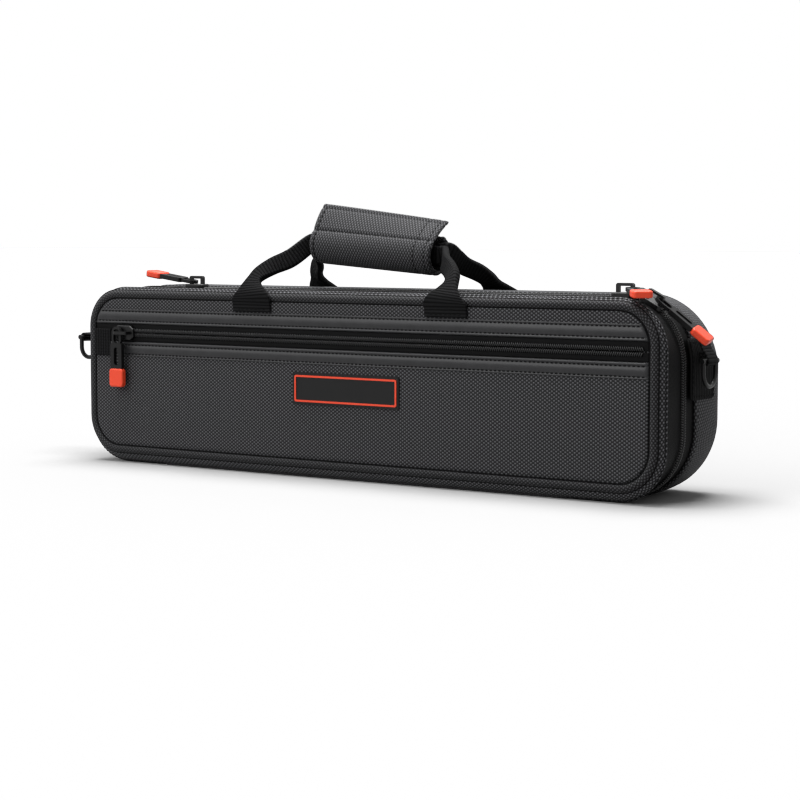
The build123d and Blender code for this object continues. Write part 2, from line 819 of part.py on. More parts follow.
def grip_flap():
    """Half of the wrap that folds over the straps and closes on the back half."""
    bend = radians(grip_fold_angle)
    slope = radians(grip_flap_slope)
    outer = (grip_radius * cos(bend), grip_radius * sin(bend))
    inner = ((grip_radius - grip_pad) * cos(bend), (grip_radius - grip_pad) * sin(bend))
    step = (grip_flap_long * cos(slope), grip_flap_long * sin(slope))
    far_outer = (outer[0] + step[0], outer[1] + step[1])
    far_inner = (
        far_outer[0] + (grip_pad - 0.8) * sin(slope),
        far_outer[1] - (grip_pad - 0.8) * cos(slope),
    )
    curl = arc_band(grip_seam_angle - 2.0, grip_fold_angle - 360, grip_radius, grip_pad)
    leaf = make_face(Polyline(outer, far_outer, far_inner, inner, close=True))
    return extrude(grip_plane() * (curl + leaf), grip_length)


# Inside


def trough(long, x, rise):
    """U-shaped channel that holds one joint of the instrument."""
    rim = zip_at + bed_top
    z = mid_height + rise
    bottom = rim + trough_depth - trough_radius
    tube = Pos(x, bottom, z) * Rot(0, 90, 0) * Cylinder(trough_radius, long)
    throat = slab(rim - 5, bottom, x - long / 2, x + long / 2, z - trough_radius, z + trough_radius)
    return tube + throat


def trough_layout():
    """Length, X and rise of each trough."""
    inner = half_length - cover_thick - side_foam - lining_thick
    edge = inner - trough_end
    return (
        (body_trough_long, 0.0, trough_rise),
        (head_trough_long, -edge + head_trough_long / 2, -trough_rise),
        (foot_trough_long, edge - foot_trough_long / 2, -trough_rise),
    )


def bed_piece(y0, y1, x0=-beyond, x1=beyond, z0=-beyond, z1=beyond):
    """Piece of the moulded bed between the given planes, with the troughs cut out of it."""
    sides = cover_thick + side_foam + lining_thick + fit
    floor = rear_bed - cover_thick - face_foam - lining_thick - fit
    solid = block(zip_at + bed_top, floor, sides) & slab(y0, y1, x0, x1, z0, z1)
    for long, x, rise in trough_layout():
        solid = solid - trough(long, x, rise)
    return solid


def bed_pieces():
    """Base of the bed, and the walls and end blocks glued on it that part the troughs."""
    glue = zip_at + bed_top + bed_wall_high
    body_joint, head_joint, foot_joint = trough_layout()
    upper, lower = mid_height + trough_rise, mid_height - trough_rise
    upper_span = {"z0": upper - trough_radius + glue_line, "z1": upper + trough_radius - glue_line}
    lower_span = {"z0": lower - trough_radius + glue_line, "z1": lower + trough_radius - glue_line}
    walls = {
        "bed_upper_wall": {"z0": upper + trough_radius},
        "bed_middle_wall": {"z0": lower + trough_radius, "z1": upper - trough_radius},
        "bed_lower_wall": {"z1": lower - trough_radius},
        "bed_upper_left_end": {"x1": body_joint[1] - body_joint[0] / 2, **upper_span},
        "bed_upper_right_end": {"x0": body_joint[1] + body_joint[0] / 2, **upper_span},
        "bed_lower_left_end": {"x1": head_joint[1] - head_joint[0] / 2, **lower_span},
        "bed_lower_right_end": {"x0": foot_joint[1] + foot_joint[0] / 2, **lower_span},
        "bed_divider": {
            "x0": head_joint[1] + head_joint[0] / 2,
            "x1": foot_joint[1] - foot_joint[0] / 2,
            **lower_span,
        },
    }
    pieces = {"bed_base": bed_piece(glue, beyond)}
    for name, span in walls.items():
        pieces[name] = bed_piece(-beyond, glue - glue_line, **span)
    return pieces


def lid_pad():
    """Soft pad inside the lid that holds the joints down."""
    back = front_bed + cover_thick + face_foam + lining_thick + fit
    sides = cover_thick + side_foam + lining_thick + lid_pad_gap
    solid = block(back, back + lid_pad_thick, sides)
    crown = solid.faces().sort_by(Axis.Y)[-1].outer_wire().edges()
    return fillet(crown, 3.0)


def write(name, shape):
    shape = shape if isinstance(shape, Compound) else Compound(children=list(shape.solids()))
    export_step(shape, f"parts/{name}.step")


def build_all():
    os.makedirs("parts", exist_ok=True)
    nodes = {
        "rear_tray": tray(1),
        "rear_cover": rear_cover(),
        "rear_panel": rear_panel(),
        "rear_piping": rear_piping(),
        "rear_lining": lining(1),
        "rear_zip_tape": tape_ring(1),
        "rear_zip_teeth": tooth_row(1),
        "hinge_gusset": hinge_gusset(),
        "rear_handle_strap": handle_strap(1),
        "grip_back": grip_back(),
        "front_tray": tray(-1),
        "front_cover": front_cover(),
        "front_piping": front_piping(),
        "front_lining": lining(-1),
        "lid_pad": lid_pad(),
        "front_zip_tape": tape_ring(-1),
        "front_zip_teeth": tooth_row(-1),
        "front_top_strip": top_strip(),
        "pocket_panel": pocket_panel(),
        "pocket_upper_trim": pocket_upper_trim(),
        "pocket_lower_trim": pocket_lower_trim(),
        "pocket_upper_tape": pocket_tape(1),
        "pocket_lower_tape": pocket_tape(-1),
        "pocket_zip_teeth": pocket_teeth(),
        "pocket_garage": pocket_garage(),
        "label_patch": label_patch(),
        "label_frame": label_frame_solid(),
        "front_handle_strap": handle_strap(-1),
        "grip_flap": grip_flap(),
    }
    nodes.update(bed_pieces())
    for name, side in (("left", -1), ("right", 1)):
        nodes[f"{name}_ring_patch"] = ring_patch(side)
        nodes[f"{name}_ring_loop"] = webbing_loop(side)
        nodes[f"{name}_d_ring"] = d_ring(side)
    for name, frame in slider_places().items():
        nodes[name] = frame * slider_form()
    for name, frame in pull_places().items():
        nodes[f"{name}_stem"] = frame * pull_stem()
        nodes[f"{name}_tip"] = frame * pull_tip()
    for name, shape in nodes.items():
        write(name, shape)


build_all()
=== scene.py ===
import math
import bpy
import numpy as np
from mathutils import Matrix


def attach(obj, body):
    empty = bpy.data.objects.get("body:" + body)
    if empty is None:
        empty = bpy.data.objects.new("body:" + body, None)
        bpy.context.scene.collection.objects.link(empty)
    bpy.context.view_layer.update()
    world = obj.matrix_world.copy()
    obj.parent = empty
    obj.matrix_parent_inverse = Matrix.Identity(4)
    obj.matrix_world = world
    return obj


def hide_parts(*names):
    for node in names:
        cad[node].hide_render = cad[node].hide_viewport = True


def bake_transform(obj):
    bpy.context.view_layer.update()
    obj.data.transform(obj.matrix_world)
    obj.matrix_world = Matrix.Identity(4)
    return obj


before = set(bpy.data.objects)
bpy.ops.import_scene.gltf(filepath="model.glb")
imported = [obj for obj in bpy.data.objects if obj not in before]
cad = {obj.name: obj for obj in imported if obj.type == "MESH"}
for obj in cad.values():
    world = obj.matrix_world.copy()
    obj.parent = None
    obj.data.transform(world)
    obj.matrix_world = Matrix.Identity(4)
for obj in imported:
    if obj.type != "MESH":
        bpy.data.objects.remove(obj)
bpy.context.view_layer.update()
mm = 0.001
print("frame loaded:", len(cad), "nodes")

# outline of the body, in mm
body = dict(
    halfLength=215.0, height=116.0, front=-40.0, rear=40.0, zip=-14.0,
    frontCorner=28.0, zipCorner=38.0, rearCorner=46.0, flat=4.0,
    frontBed=-38.2, rearBed=38.2, frontPlane=-39.4,
    seamHalf=205.5, seamLow=11.7, seamHigh=107.9, seamCorner=19.0, rearSeam=15.0,
)


def cornerAt(y):
    # corner radius grows from the front to the zipper and again to the rear
    stops = [body["front"], body["zip"] - body["flat"], body["zip"] + body["flat"], body["rear"]]
    radii = [body["frontCorner"], body["zipCorner"], body["zipCorner"], body["rearCorner"]]
    return np.interp(y, stops, radii)


def loopSamples(nCorner, nLong, nShort):
    # samples of a rounded rectangle, counterclockwise from the middle of its bottom: each is a mix
    # of two corner points, given as side, level and angle, so that any radius can be put in later
    corners = [(1, -1, -90), (1, 1, 0), (-1, 1, 90), (-1, -1, 180)]
    rows = []
    for k, (sx, sz, start) in enumerate(corners):
        prev = corners[k - 1]
        count = nLong if k % 2 == 0 else nShort
        for w in np.linspace(0, 1, count + 1)[1:-1]:
            rows.append((prev[0], prev[1], prev[2] + 90, sx, sz, start, w))
        for a in np.linspace(start, start + 90, nCorner + 1):
            rows.append((sx, sz, a, sx, sz, a, 0.0))
    rows = np.array(rows)
    half = nLong // 2
    return np.roll(rows, -half, axis=0)


fineLoop = loopSamples(18, 96, 14)


def bodyPoints(samples, y, inset):
    # a point is its corner's centre plus the corner radius less the inset along the angle, and on the
    # straights a mix of the two nearest corners' ends
    y = np.asarray(y, float)[None, :]
    inset = np.asarray(inset, float)[None, :]
    r = np.maximum(cornerAt(y) - inset, 0.4)
    cx = body["halfLength"] - inset - r
    cz = body["height"] / 2 - inset - r
    s = samples[:, :, None]
    out = []
    for c in (0, 3):
        a = np.radians(s[:, c + 2])
        out.append((s[:, c] * cx + r * np.cos(a), s[:, c + 1] * cz + r * np.sin(a)))
    w = s[:, 6]
    x = (1 - w) * out[0][0] + w * out[1][0]
    z = (1 - w) * out[0][1] + w * out[1][1] + body["height"] / 2
    return np.stack([x, np.broadcast_to(y, x.shape), z], axis=-1)


def rectPoints(samples, halfX, zLow, zHigh, radius, y):
    # the same walk round a plain rounded rectangle, for arrays of sizes
    halfX, zLow, zHigh, radius, y = (np.asarray(v, float)[None, :] + 0 * np.asarray(y, float)[None, :]
                                     for v in (halfX, zLow, zHigh, radius, y))
    cx = halfX - radius
    cz = (zHigh - zLow) / 2 - radius
    s = samples[:, :, None]
    out = []
    for c in (0, 3):
        a = np.radians(s[:, c + 2])
        out.append((s[:, c] * cx + radius * np.cos(a), s[:, c + 1] * cz + radius * np.sin(a)))
    w = s[:, 6]
    x = (1 - w) * out[0][0] + w * out[1][0]
    z = (1 - w) * out[0][1] + w * out[1][1] + (zHigh + zLow) / 2
    return np.stack([x, np.broadcast_to(y, x.shape), z], axis=-1)


# meshes
def meshFrom(name, parts, material, bodyName, replaces=(), smooth=True, flatUV=None):
    # parts are (points in mm, closed along the first index, closed along the second, caps): each is a
    # grid of quads whose UV is the distance along both directions in metres, or two of the point's own
    # coordinates where flatUV names them, and they become one mesh
    verts, faces, uvs = [], [], []
    base = 0
    for points, closeU, closeV, caps in parts:
        nu, nv = points.shape[:2]
        flat = points.reshape(-1, 3) * mm
        iu = np.arange(nu if closeU else nu - 1)
        iv = np.arange(nv if closeV else nv - 1)
        a, b = np.meshgrid(iu, iv, indexing="ij")
        a2, b2 = (a + 1) % nu, (b + 1) % nv
        quad = np.stack([a * nv + b, a2 * nv + b, a2 * nv + b2, a * nv + b2], axis=-1).reshape(-1, 4)
        du = np.linalg.norm(np.diff(points, axis=0, append=points[:1]), axis=-1).mean(axis=1) * mm
        dv = np.linalg.norm(np.diff(points, axis=1, append=points[:, :1]), axis=-1).mean(axis=0) * mm
        u = np.concatenate([[0], np.cumsum(du)])
        v = np.concatenate([[0], np.cumsum(dv)])
        uv = np.stack([np.stack([u[a], v[b]], -1), np.stack([u[a + 1], v[b]], -1),
                       np.stack([u[a + 1], v[b + 1]], -1), np.stack([u[a], v[b + 1]], -1)], axis=2).reshape(-1, 4, 2)
        if flatUV:
            uv = flat[quad][:, :, list(flatUV)]
        p = flat[quad]
        c = flat.mean(axis=0)
        volume = (np.einsum("ij,ij->i", p[:, 0] - c, np.cross(p[:, 1] - c, p[:, 2] - c))
                  + np.einsum("ij,ij->i", p[:, 0] - c, np.cross(p[:, 2] - c, p[:, 3] - c))).sum()
        flip = volume < 0
        if flip:
            quad, uv = quad[:, ::-1], uv[:, ::-1]
        verts.append(flat)
        faces += (quad + base).tolist()
        uvs.append(uv.reshape(-1, 2))
        if caps:
            first = np.arange(nv) + base
            last = first + (nu - 1) * nv
            ends = [first.tolist(), last[::-1].tolist()]
            if not flip:
                ends = [e for e in ends]
            for k, ring in enumerate(ends):
                ringPoints = flat[np.array(ring) - base]
                inward = flat[(nv if k == 0 else (nu - 2) * nv)] - flat[0 if k == 0 else (nu - 1) * nv]
                n = np.cross(ringPoints, np.roll(ringPoints, -1, axis=0)).sum(axis=0)
                if n @ inward > 0:
                    ring = ring[::-1]
                faces.append(ring)
                spread = flat[np.array(ring) - base]
                uvs.append(spread[:, list(flatUV)] if flatUV else spread[:, [0, 2]] + spread[:, [1, 1]] * 0.5)
        base += len(flat)
    mesh = bpy.data.meshes.new(name)
    mesh.from_pydata(np.concatenate(verts).tolist(), [], faces)
    layer = mesh.uv_layers.new(name="weave")
    layer.data.foreach_set("uv", np.concatenate(uvs).astype(np.float32).ravel())
    mesh.polygons.foreach_set("use_smooth", np.full(len(mesh.polygons), smooth))
    mesh.materials.append(material)
    mesh.update()
    piece = bpy.data.objects.new(name, mesh)
    bpy.context.scene.collection.objects.link(piece)
    if bodyName:
        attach(piece, bodyName)
    if replaces:
        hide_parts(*replaces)
    return piece


def roundBar(halfWide, halfHigh, radius, count=5):
    # closed loop of a rounded rectangle round the origin, as (n, 2)
    pts = []
    for sx, sy, start in ((1, -1, -90), (1, 1, 0), (-1, 1, 90), (-1, -1, 180)):
        a = np.radians(np.linspace(start, start + 90, count))
        pts.append(np.stack([sx * (halfWide - radius) + radius * np.cos(a),
                             sy * (halfHigh - radius) + radius * np.sin(a)], -1))
    return np.concatenate(pts)


def smoothPath(keys, count):
    # Catmull-Rom curve through the rows of keys, evaluated at count points
    keys = np.asarray(keys, float)
    ext = np.concatenate([2 * keys[:1] - keys[1:2], keys, 2 * keys[-1:] - keys[-2:-1]])
    t = np.linspace(0, len(keys) - 1, count)
    i = np.minimum(t.astype(int), len(keys) - 2)
    f = (t - i)[:, None]
    p0, p1, p2, p3 = ext[i], ext[i + 1], ext[i + 2], ext[i + 3]
    return 0.5 * (2 * p1 + (p2 - p0) * f + (2 * p0 - 5 * p1 + 4 * p2 - p3) * f ** 2
                  + (3 * p1 - p0 - 3 * p2 + p3) * f ** 3)


def unit(v):
    return v / np.maximum(np.linalg.norm(v, axis=-1, keepdims=True), 1e-9)


def sections(centres, wides, thicks, loops):
    # grid of a band: at each station a closed loop set out along its width and thickness directions
    return (centres[:, None, :] + loops[:, :, :1] * wides[:, None, :] + loops[:, :, 1:] * thicks[:, None, :])


def beads(template, places, tangents, ups, name, material, bodyName, replaces=()):
    # one small closed mesh (rings of points along its x) set at many places: x follows the tangent, z the
    # way up and y the cross of both
    pts, nu, nv = template
    t = unit(np.asarray(tangents, float))
    n = unit(np.asarray(ups, float))
    b = np.cross(n, t)
    world = (places[:, None, :] + pts[None, :, :1] * t[:, None] + pts[None, :, 1:2] * b[:, None]
             + pts[None, :, 2:] * n[:, None]) * mm
    iu, iv = np.meshgrid(np.arange(nu - 1), np.arange(nv), indexing="ij")
    quad = np.stack([iu * nv + iv, iu * nv + (iv + 1) % nv, (iu + 1) * nv + (iv + 1) % nv,
                     (iu + 1) * nv + iv], -1).reshape(-1, 4)
    count = len(places)
    offs = (np.arange(count) * len(pts))[:, None, None]
    allQuads = (quad[None] + offs).reshape(-1, 4)
    caps = np.stack([np.arange(nv)[::-1], (nu - 1) * nv + np.arange(nv)])
    allCaps = (caps[None] + offs).reshape(-1, nv)
    mesh = bpy.data.meshes.new(name)
    mesh.from_pydata(world.reshape(-1, 3).tolist(), [], allQuads.tolist() + allCaps.tolist())
    mesh.polygons.foreach_set("use_smooth", np.ones(len(mesh.polygons), bool))
    mesh.materials.append(material)
    mesh.update()
    piece = bpy.data.objects.new(name, mesh)
    bpy.context.scene.collection.objects.link(piece)
    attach(piece, bodyName)
    if replaces:
        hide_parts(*replaces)
    return piece


def capsule(length, wide, high, rings=5, sides=6, bend=0.0, slant=0.0):
    # rings of a rounded rod along x: width and height swell from the ends to the middle, its line bends
    # up by a parabola and slants along y
    x = np.linspace(-1, 1, rings)
    swell = np.sqrt(np.clip(1 - 0.85 * x ** 4, 0, 1)) * np.clip(1.25 - 0.55 * x ** 2, 0, 1)
    a = np.linspace(0, 2 * np.pi, sides, endpoint=False)
    px = np.repeat(x * length / 2, sides)
    py = (swell[:, None] * np.cos(a) * wide / 2).ravel() + slant * px
    pz = (swell[:, None] * np.sin(a) * high / 2).ravel() + bend * (1 - np.repeat(x, sides) ** 2)
    return np.stack([px, py, pz], -1), rings, sides


def along(path, pitch, start=0.0, end=0.0):
    # points and tangents at even distances along a polyline
    path = np.asarray(path, float)
    step = np.linalg.norm(np.diff(path, axis=0), axis=1)
    s = np.concatenate([[0], np.cumsum(step)])
    count = max(int((s[-1] - start - end) / pitch), 1)
    at = start + (np.arange(count) + 0.5) * (s[-1] - start - end) / count
    pts = np.stack([np.interp(at, s, path[:, k]) for k in range(3)], -1)
    ahead = np.stack([np.interp(at + 0.3, s, path[:, k]) for k in range(3)], -1)
    behind = np.stack([np.interp(at - 0.3, s, path[:, k]) for k in range(3)], -1)
    return pts, unit(ahead - behind), at


# shader maths
class Wire:
    # wraps one socket, so that an expression adds its Math nodes
    def __init__(self, tree, socket):
        self.tree = tree
        self.socket = socket

    def node(self, kind, settings=None, outlet=0, **values):
        made = self.tree.nodes.new(kind)
        for key, value in (settings or {}).items():
            setattr(made, key, value)
        for key, value in values.items():
            target = made.inputs[int(key[1:])] if key[0] == "_" and key[1:].isdigit() else made.inputs[key]
            if isinstance(value, Wire):
                self.tree.links.new(value.socket, target)
            else:
                target.default_value = value
        return Wire(self.tree, made.outputs[outlet])

    def math(self, operation, *others):
        values = {f"_{k}": v for k, v in enumerate([self, *others])}
        return self.node("ShaderNodeMath", {"operation": operation}, **values)

    def __add__(self, other): return self.math("ADD", other)
    def __sub__(self, other): return self.math("SUBTRACT", other)
    def __mul__(self, other): return self.math("MULTIPLY", other)
    def __truediv__(self, other): return self.math("DIVIDE", other)
    def __pow__(self, other): return self.math("POWER", other)
    def __radd__(self, other): return self.math("ADD", other)
    def __rmul__(self, other): return self.math("MULTIPLY", other)
    def __rsub__(self, other): return (self * -1.0) + other
    def sin(self): return self.math("SINE")
    def cos(self): return self.math("COSINE")
    def abs(self): return self.math("ABSOLUTE")
    def floor(self): return self.math("FLOOR")
    def frac(self): return self.math("FRACT")
    def sign(self): return self.math("SIGN")
    def top(self, other): return self.math("MAXIMUM", other)
    def low(self, other): return self.math("MINIMUM", other)
    def clamp(self): return self.top(0.0).low(1.0)


def newMaterial(name, roughness=0.6, metallic=0.0, sheen=0.0, coat=0.0, specular=0.5, coatRoughness=0.2):
    made = bpy.data.materials.new(name)
    made.use_nodes = True
    tree = made.node_tree
    shader = tree.nodes["Principled BSDF"]
    shader.inputs["Roughness"].default_value = roughness
    shader.inputs["Metallic"].default_value = metallic
    shader.inputs["Sheen Weight"].default_value = sheen
    shader.inputs["Coat Weight"].default_value = coat
    shader.inputs["Coat Roughness"].default_value = coatRoughness
    shader.inputs["Specular IOR Level"].default_value = specular
    return made, tree, shader


def mapped(tree, uv=True, scale=(1, 1, 1), turn=0.0):
    # the pattern's two coordinates, in metres
    coords = Wire(tree, tree.nodes.new("ShaderNodeTexCoord").outputs["UV" if uv else "Object"])
    turned = coords.node("ShaderNodeMapping", _0=coords, _2=(0, 0, math.radians(turn)), _3=scale)
    parts = turned.tree.nodes.new("ShaderNodeSeparateXYZ")
    tree.links.new(turned.socket, parts.inputs[0])
    return coords, [Wire(tree, parts.outputs[k]) for k in range(3)]


def mixColour(wire, factor, dark, light):
    made = wire.tree.nodes.new("ShaderNodeMix")
    made.data_type = "RGBA"
    if isinstance(factor, Wire):
        wire.tree.links.new(factor.socket, made.inputs[0])
    else:
        made.inputs[0].default_value = factor
    for index, value in ((6, dark), (7, light)):
        if isinstance(value, Wire):
            wire.tree.links.new(value.socket, made.inputs[index])
        else:
            made.inputs[index].default_value = (*value, 1)
    return Wire(wire.tree, made.outputs[2])


def bumpInto(tree, shader, height, strength, distance):
    bump = tree.nodes.new("ShaderNodeBump")
    bump.inputs["Strength"].default_value = strength
    bump.inputs["Distance"].default_value = distance
    tree.links.new(height.socket, bump.inputs["Height"])
    tree.links.new(bump.outputs[0], shader.inputs["Normal"])


def noise(wire, coords, scale, detail=2.0):
    return wire.node("ShaderNodeTexNoise", _0=coords, Scale=scale, Detail=detail)


def wovenMaterial(name, cell, dark, light, turn=0.0, uv=True, rough=0.62, bump=0.9, depth=0.00025, mottling=0.18):
    # plain weave of flat double yarns: in every second cell the warp lies on top, in the others the weft;
    # each yarn's height is a rounded hump across it times a hump along its float
    made, tree, shader = newMaterial(name, rough, sheen=0.03, specular=0.09)
    coords, (u, v, w) = mapped(tree, uv, turn=turn)
    s = u * (1 / cell[0])
    t = v * (1 / cell[1])
    sinS = (s * math.pi).sin()
    sinT = (t * math.pi).sin()
    over = (sinS * sinT).sign()
    humpS = sinS.abs() ** 0.6
    humpT = sinT.abs() ** 0.6
    warp = humpS * (0.5 + over * 0.5) * (0.45 + 0.55 * humpT)
    weft = humpT * (0.5 - over * 0.5) * (0.35 + 0.4 * humpS)
    height = warp.top(weft * 0.8)
    shade = noise(u, coords, 900.0) * (2 * mottling) + (1 - mottling)
    # the colour follows the yarn height: painted shade makes the hollows between the yarns near black and the lower
    # weft dark, a partly painted highlight makes the raised warp lightest, and the noise mottles it at random
    heightShadedTone = ((warp ** 1.3 + weft * 0.16) * shade).clamp()
    colour = mixColour(u, heightShadedTone, dark, light)
    tree.links.new(colour.socket, shader.inputs["Base Color"])
    roughness = (rough + 0.12) - height * 0.2
    tree.links.new(roughness.socket, shader.inputs["Roughness"])
    bumpInto(tree, shader, height, bump, depth)
    return made


def ribbedMaterial(name, pitch, dark, light, axis=0, rough=0.55, depth=0.00015, fine=0.0004, bump=0.7):
    # ribs across one direction, each crossed by fine yarns
    made, tree, shader = newMaterial(name, rough, sheen=0.0, specular=0.05)
    coords, parts = mapped(tree)
    u, v = (parts[0], parts[1]) if axis == 0 else (parts[1], parts[0])
    rib = (u * (math.pi / pitch)).sin().abs() ** 0.7
    yarn = (v * (math.pi / fine)).sin().abs() ** 0.8
    height = rib * (0.75 + 0.25 * yarn)
    # the colour follows the rib height: painted shade darkens the grooves between the ribs, the rib tops stay lightest,
    # and the noise mottles it at random
    heightShadedTone = ((height ** 1.5) * (noise(u, coords, 700.0) * 0.6 + 0.65)).clamp()
    tree.links.new(mixColour(u, heightShadedTone, dark, light).socket, shader.inputs["Base Color"])
    tree.links.new(((rough + 0.1) - height * 0.15).socket, shader.inputs["Roughness"])
    bumpInto(tree, shader, height, bump, depth)
    return made


def smoothMaterial(name, dark, light, rough, scale, depth, bump=0.3, metallic=0.0, coat=0.0, uv=False,
                   specular=0.5, spread=0.12, sheen=0.0):
    # fine grain: two noises mottle the colour, the gloss and the surface
    made, tree, shader = newMaterial(name, rough, metallic=metallic, coat=coat, specular=specular, sheen=sheen)
    coords, (u, v, w) = mapped(tree, uv)
    grain = noise(u, coords, scale, 4.0)
    broad = noise(u, coords, scale / 9, 2.0)
    tree.links.new(mixColour(u, (grain * 0.5 + broad * 0.5).clamp(), dark, light).socket, shader.inputs["Base Color"])
    tree.links.new(((rough - spread / 2) + broad * spread).socket, shader.inputs["Roughness"])
    bumpInto(tree, shader, grain, bump, depth)
    return made


def grey(v, warm=0.0):
    return (v * (1 + warm), v, v * (1 + 0.06 - warm))


mats = dict(
    # the cover uses the panel's weave with a lighter yarn colour so that the top faces read brighter: painted light for
    # the stronger light falling on the top
    cover=wovenMaterial("coverWeave", (0.00151, 0.00107), grey(0.002), grey(0.130)),
    panel=wovenMaterial("panelWeave", (0.00151, 0.00107), grey(0.002), grey(0.098)),
    grip=wovenMaterial("gripWeave", (0.00104, 0.00160), grey(0.003), grey(0.102)),
    hinge=wovenMaterial("hingeWeave", (0.00151, 0.00107), grey(0.002), grey(0.05)),
    piping=wovenMaterial("pipingWeave", (0.00135, 0.00107), grey(0.002), grey(0.062)),
    trim=smoothMaterial("smoothTrim", grey(0.012), grey(0.031), 0.36, 1400.0, 0.00003, specular=0.22),
    tape=ribbedMaterial("zipTape", 0.0007, grey(0.001), grey(0.006), axis=0),
    coil=smoothMaterial("coilNylon", grey(0.004), grey(0.012), 0.36, 900.0, 0.00002, specular=0.35),
    webbing=ribbedMaterial("webbingRibs", 0.0021, grey(0.0003), grey(0.009), axis=0, rough=0.7, depth=0.0004, bump=1.0),
    metal=smoothMaterial("blackMetal", grey(0.002), grey(0.005), 0.32, 600.0, 0.00001, metallic=0.2, coat=0.1, specular=0.3),
    rubber=smoothMaterial("blackRubber", grey(0.002), grey(0.005), 0.48, 1500.0, 0.00003, specular=0.18),
    orange=smoothMaterial("orangeRubber", (0.62, 0.040, 0.012), (0.70, 0.056, 0.016), 0.42, 900.0, 0.00003, specular=0.35),
    thread=smoothMaterial("thread", grey(0.0012), grey(0.004), 0.6, 2500.0, 0.00003, specular=0.05),
    plush=smoothMaterial("plush", grey(0.005), grey(0.024), 0.85, 2200.0, 0.0004, bump=0.8, sheen=0.3, specular=0.2),
)
print("materials made:", len(mats))

# covers, tapes and rolled edges
coverSet = dict(frontRound=8.0, rearRound=14.0, thick=2.4, frontEdge=-33.0, rearEdge=0.0, puff=0.35)


def arcPoints(centreY, centreInset, radius, start, end, count):
    a = np.radians(np.linspace(start, end, count))
    return np.stack([centreY + radius * np.cos(a), centreInset - radius * np.sin(a)], -1)


def ringPiece(name, profile, material, bodyName, replaces=(), samples=fineLoop, more=()):
    # closed profile of (y, inset) pairs carried round the body's outline
    profile = np.asarray(profile, float)
    grid = bodyPoints(samples, profile[:, 0], profile[:, 1])
    return meshFrom(name, [(grid, True, True, False), *more], material, bodyName, replaces)


def tongue(y0, y1):
    # strip of the cover under the bottom, up to the hinge: one rounded bar's outline carried along the length
    loop = roundBar(abs(y1 - y0) / 2, 1.1, 0.7, 4)
    x = np.linspace(-149.7, 149.7, 30)
    y = np.broadcast_to((y0 + y1) / 2 + loop[:, 0], (30, len(loop)))
    z = np.broadcast_to(1.1 + loop[:, 1], (30, len(loop)))
    return np.stack([np.broadcast_to(x[:, None], y.shape), y, z], -1)


def makeFrontCover():
    # from the rolled edge round the front corner to a turned hem that overlaps the zipper's tape
    r, bed, edge = coverSet["frontRound"], body["frontBed"], coverSet["frontEdge"]
    outer = [(bed, 13.5), (bed, 12.0), (bed, 10.0)]
    turn = arcPoints(bed + r, r, r, 180, 131, 10)
    y = edge + np.array([-2.0, -1.75, -1.5, -1.25, -1.0, -0.4, -0.1])
    sunk = np.array([0.02, 0.18, 0.28, 0.18, 0.02, 0.0, 0.1])
    hem = np.stack([y, r - np.sqrt(r * r - (y - bed - r) ** 2) + sunk], -1)
    hem = np.concatenate([hem, [(edge + 0.05, 1.1), (edge - 0.2, 1.5)]])
    back = [(edge - 1.5, 2.3), (bed + r, 2.4), (bed + 4.0, 5.0), (bed + 2.4, r + 0.5), (bed + 2.4, 13.5)]
    profile = np.concatenate([outer, turn, hem, back])
    return ringPiece("front_cover_fabric", profile, mats["cover"], "lid", ["front_cover"],
                     more=[(tongue(edge - 0.6, -20.1), False, True, True)])


def makeRearCover():
    # from a turned hem at the rear tape round the rear corner to the rear panel's rolled edge
    r, bed, edge = coverSet["rearRound"], body["rearBed"], coverSet["rearEdge"]
    hem = [(edge + 0.3, 1.5), (edge - 0.1, 0.9), (edge, 0.25), (edge + 0.8, -0.2), (edge + 1.8, -0.15), (edge + 2.4, 0.05),
           (edge + 3.0, -0.1)]
    mids = np.linspace(edge + 4.5, bed - r - 1, 8)
    sag = [(y, -coverSet["puff"] * math.sin(math.pi * (y - edge - 3) / (bed - r - edge - 3))) for y in mids]
    turn = arcPoints(bed - r, r, r, 90 - 2, 0, 14)
    outer = [(bed, 15.5), (bed, 17.0), (bed, 19.5)]
    back = [(bed - 2.4, 19.5), (bed - 2.4, 15.0), (bed - 4.0, 8.0), (bed - 9.0, 3.6), (bed - r, 2.4), (edge + 1.5, 2.3)]
    profile = np.concatenate([hem, sag, turn, outer, back])
    return ringPiece("rear_cover_fabric", profile, mats["cover"], "base", ["rear_cover"],
                     more=[(tongue(edge + 0.6, -8.0), False, True, True)])


def tapePieces():
    # each tape is a thin band with a corded inner edge; it stops where the hinge strip begins
    limit = 150.0
    for name, bodyName, y0, y1, node, cordAt in (
        ("front_tape_fabric", "lid", -33.2, -14.8, "front_zip_tape", -17.6),
        ("rear_tape_fabric", "base", -13.2, 0.2, "rear_zip_tape", -10.4),
    ):
        ys = np.linspace(y0, y1, 18)
        lift = 0.35 * np.exp(-((ys - cordAt) / 0.5) ** 2)
        top = np.stack([ys, 1.6 - lift], -1)
        low = np.stack([ys[::-1], np.full(len(ys), 2.35)], -1)
        profile = np.concatenate([top, low])
        grid = bodyPoints(fineLoop, profile[:, 0], profile[:, 1])
        # start and end under the bottom at the hinge strip's ends
        mid = grid[:, 0]
        keep = ~((np.abs(mid[:, 0]) < limit) & (mid[:, 2] < 20))
        first = np.argmax(keep)
        run = grid[keep]
        startRow = run[:1].copy(); startRow[..., 0] = limit
        endRow = run[-1:].copy(); endRow[..., 0] = -limit
        run = np.concatenate([startRow, run, endRow])
        meshFrom(name, [(run, False, True, True)], mats["tape"], bodyName, [node])


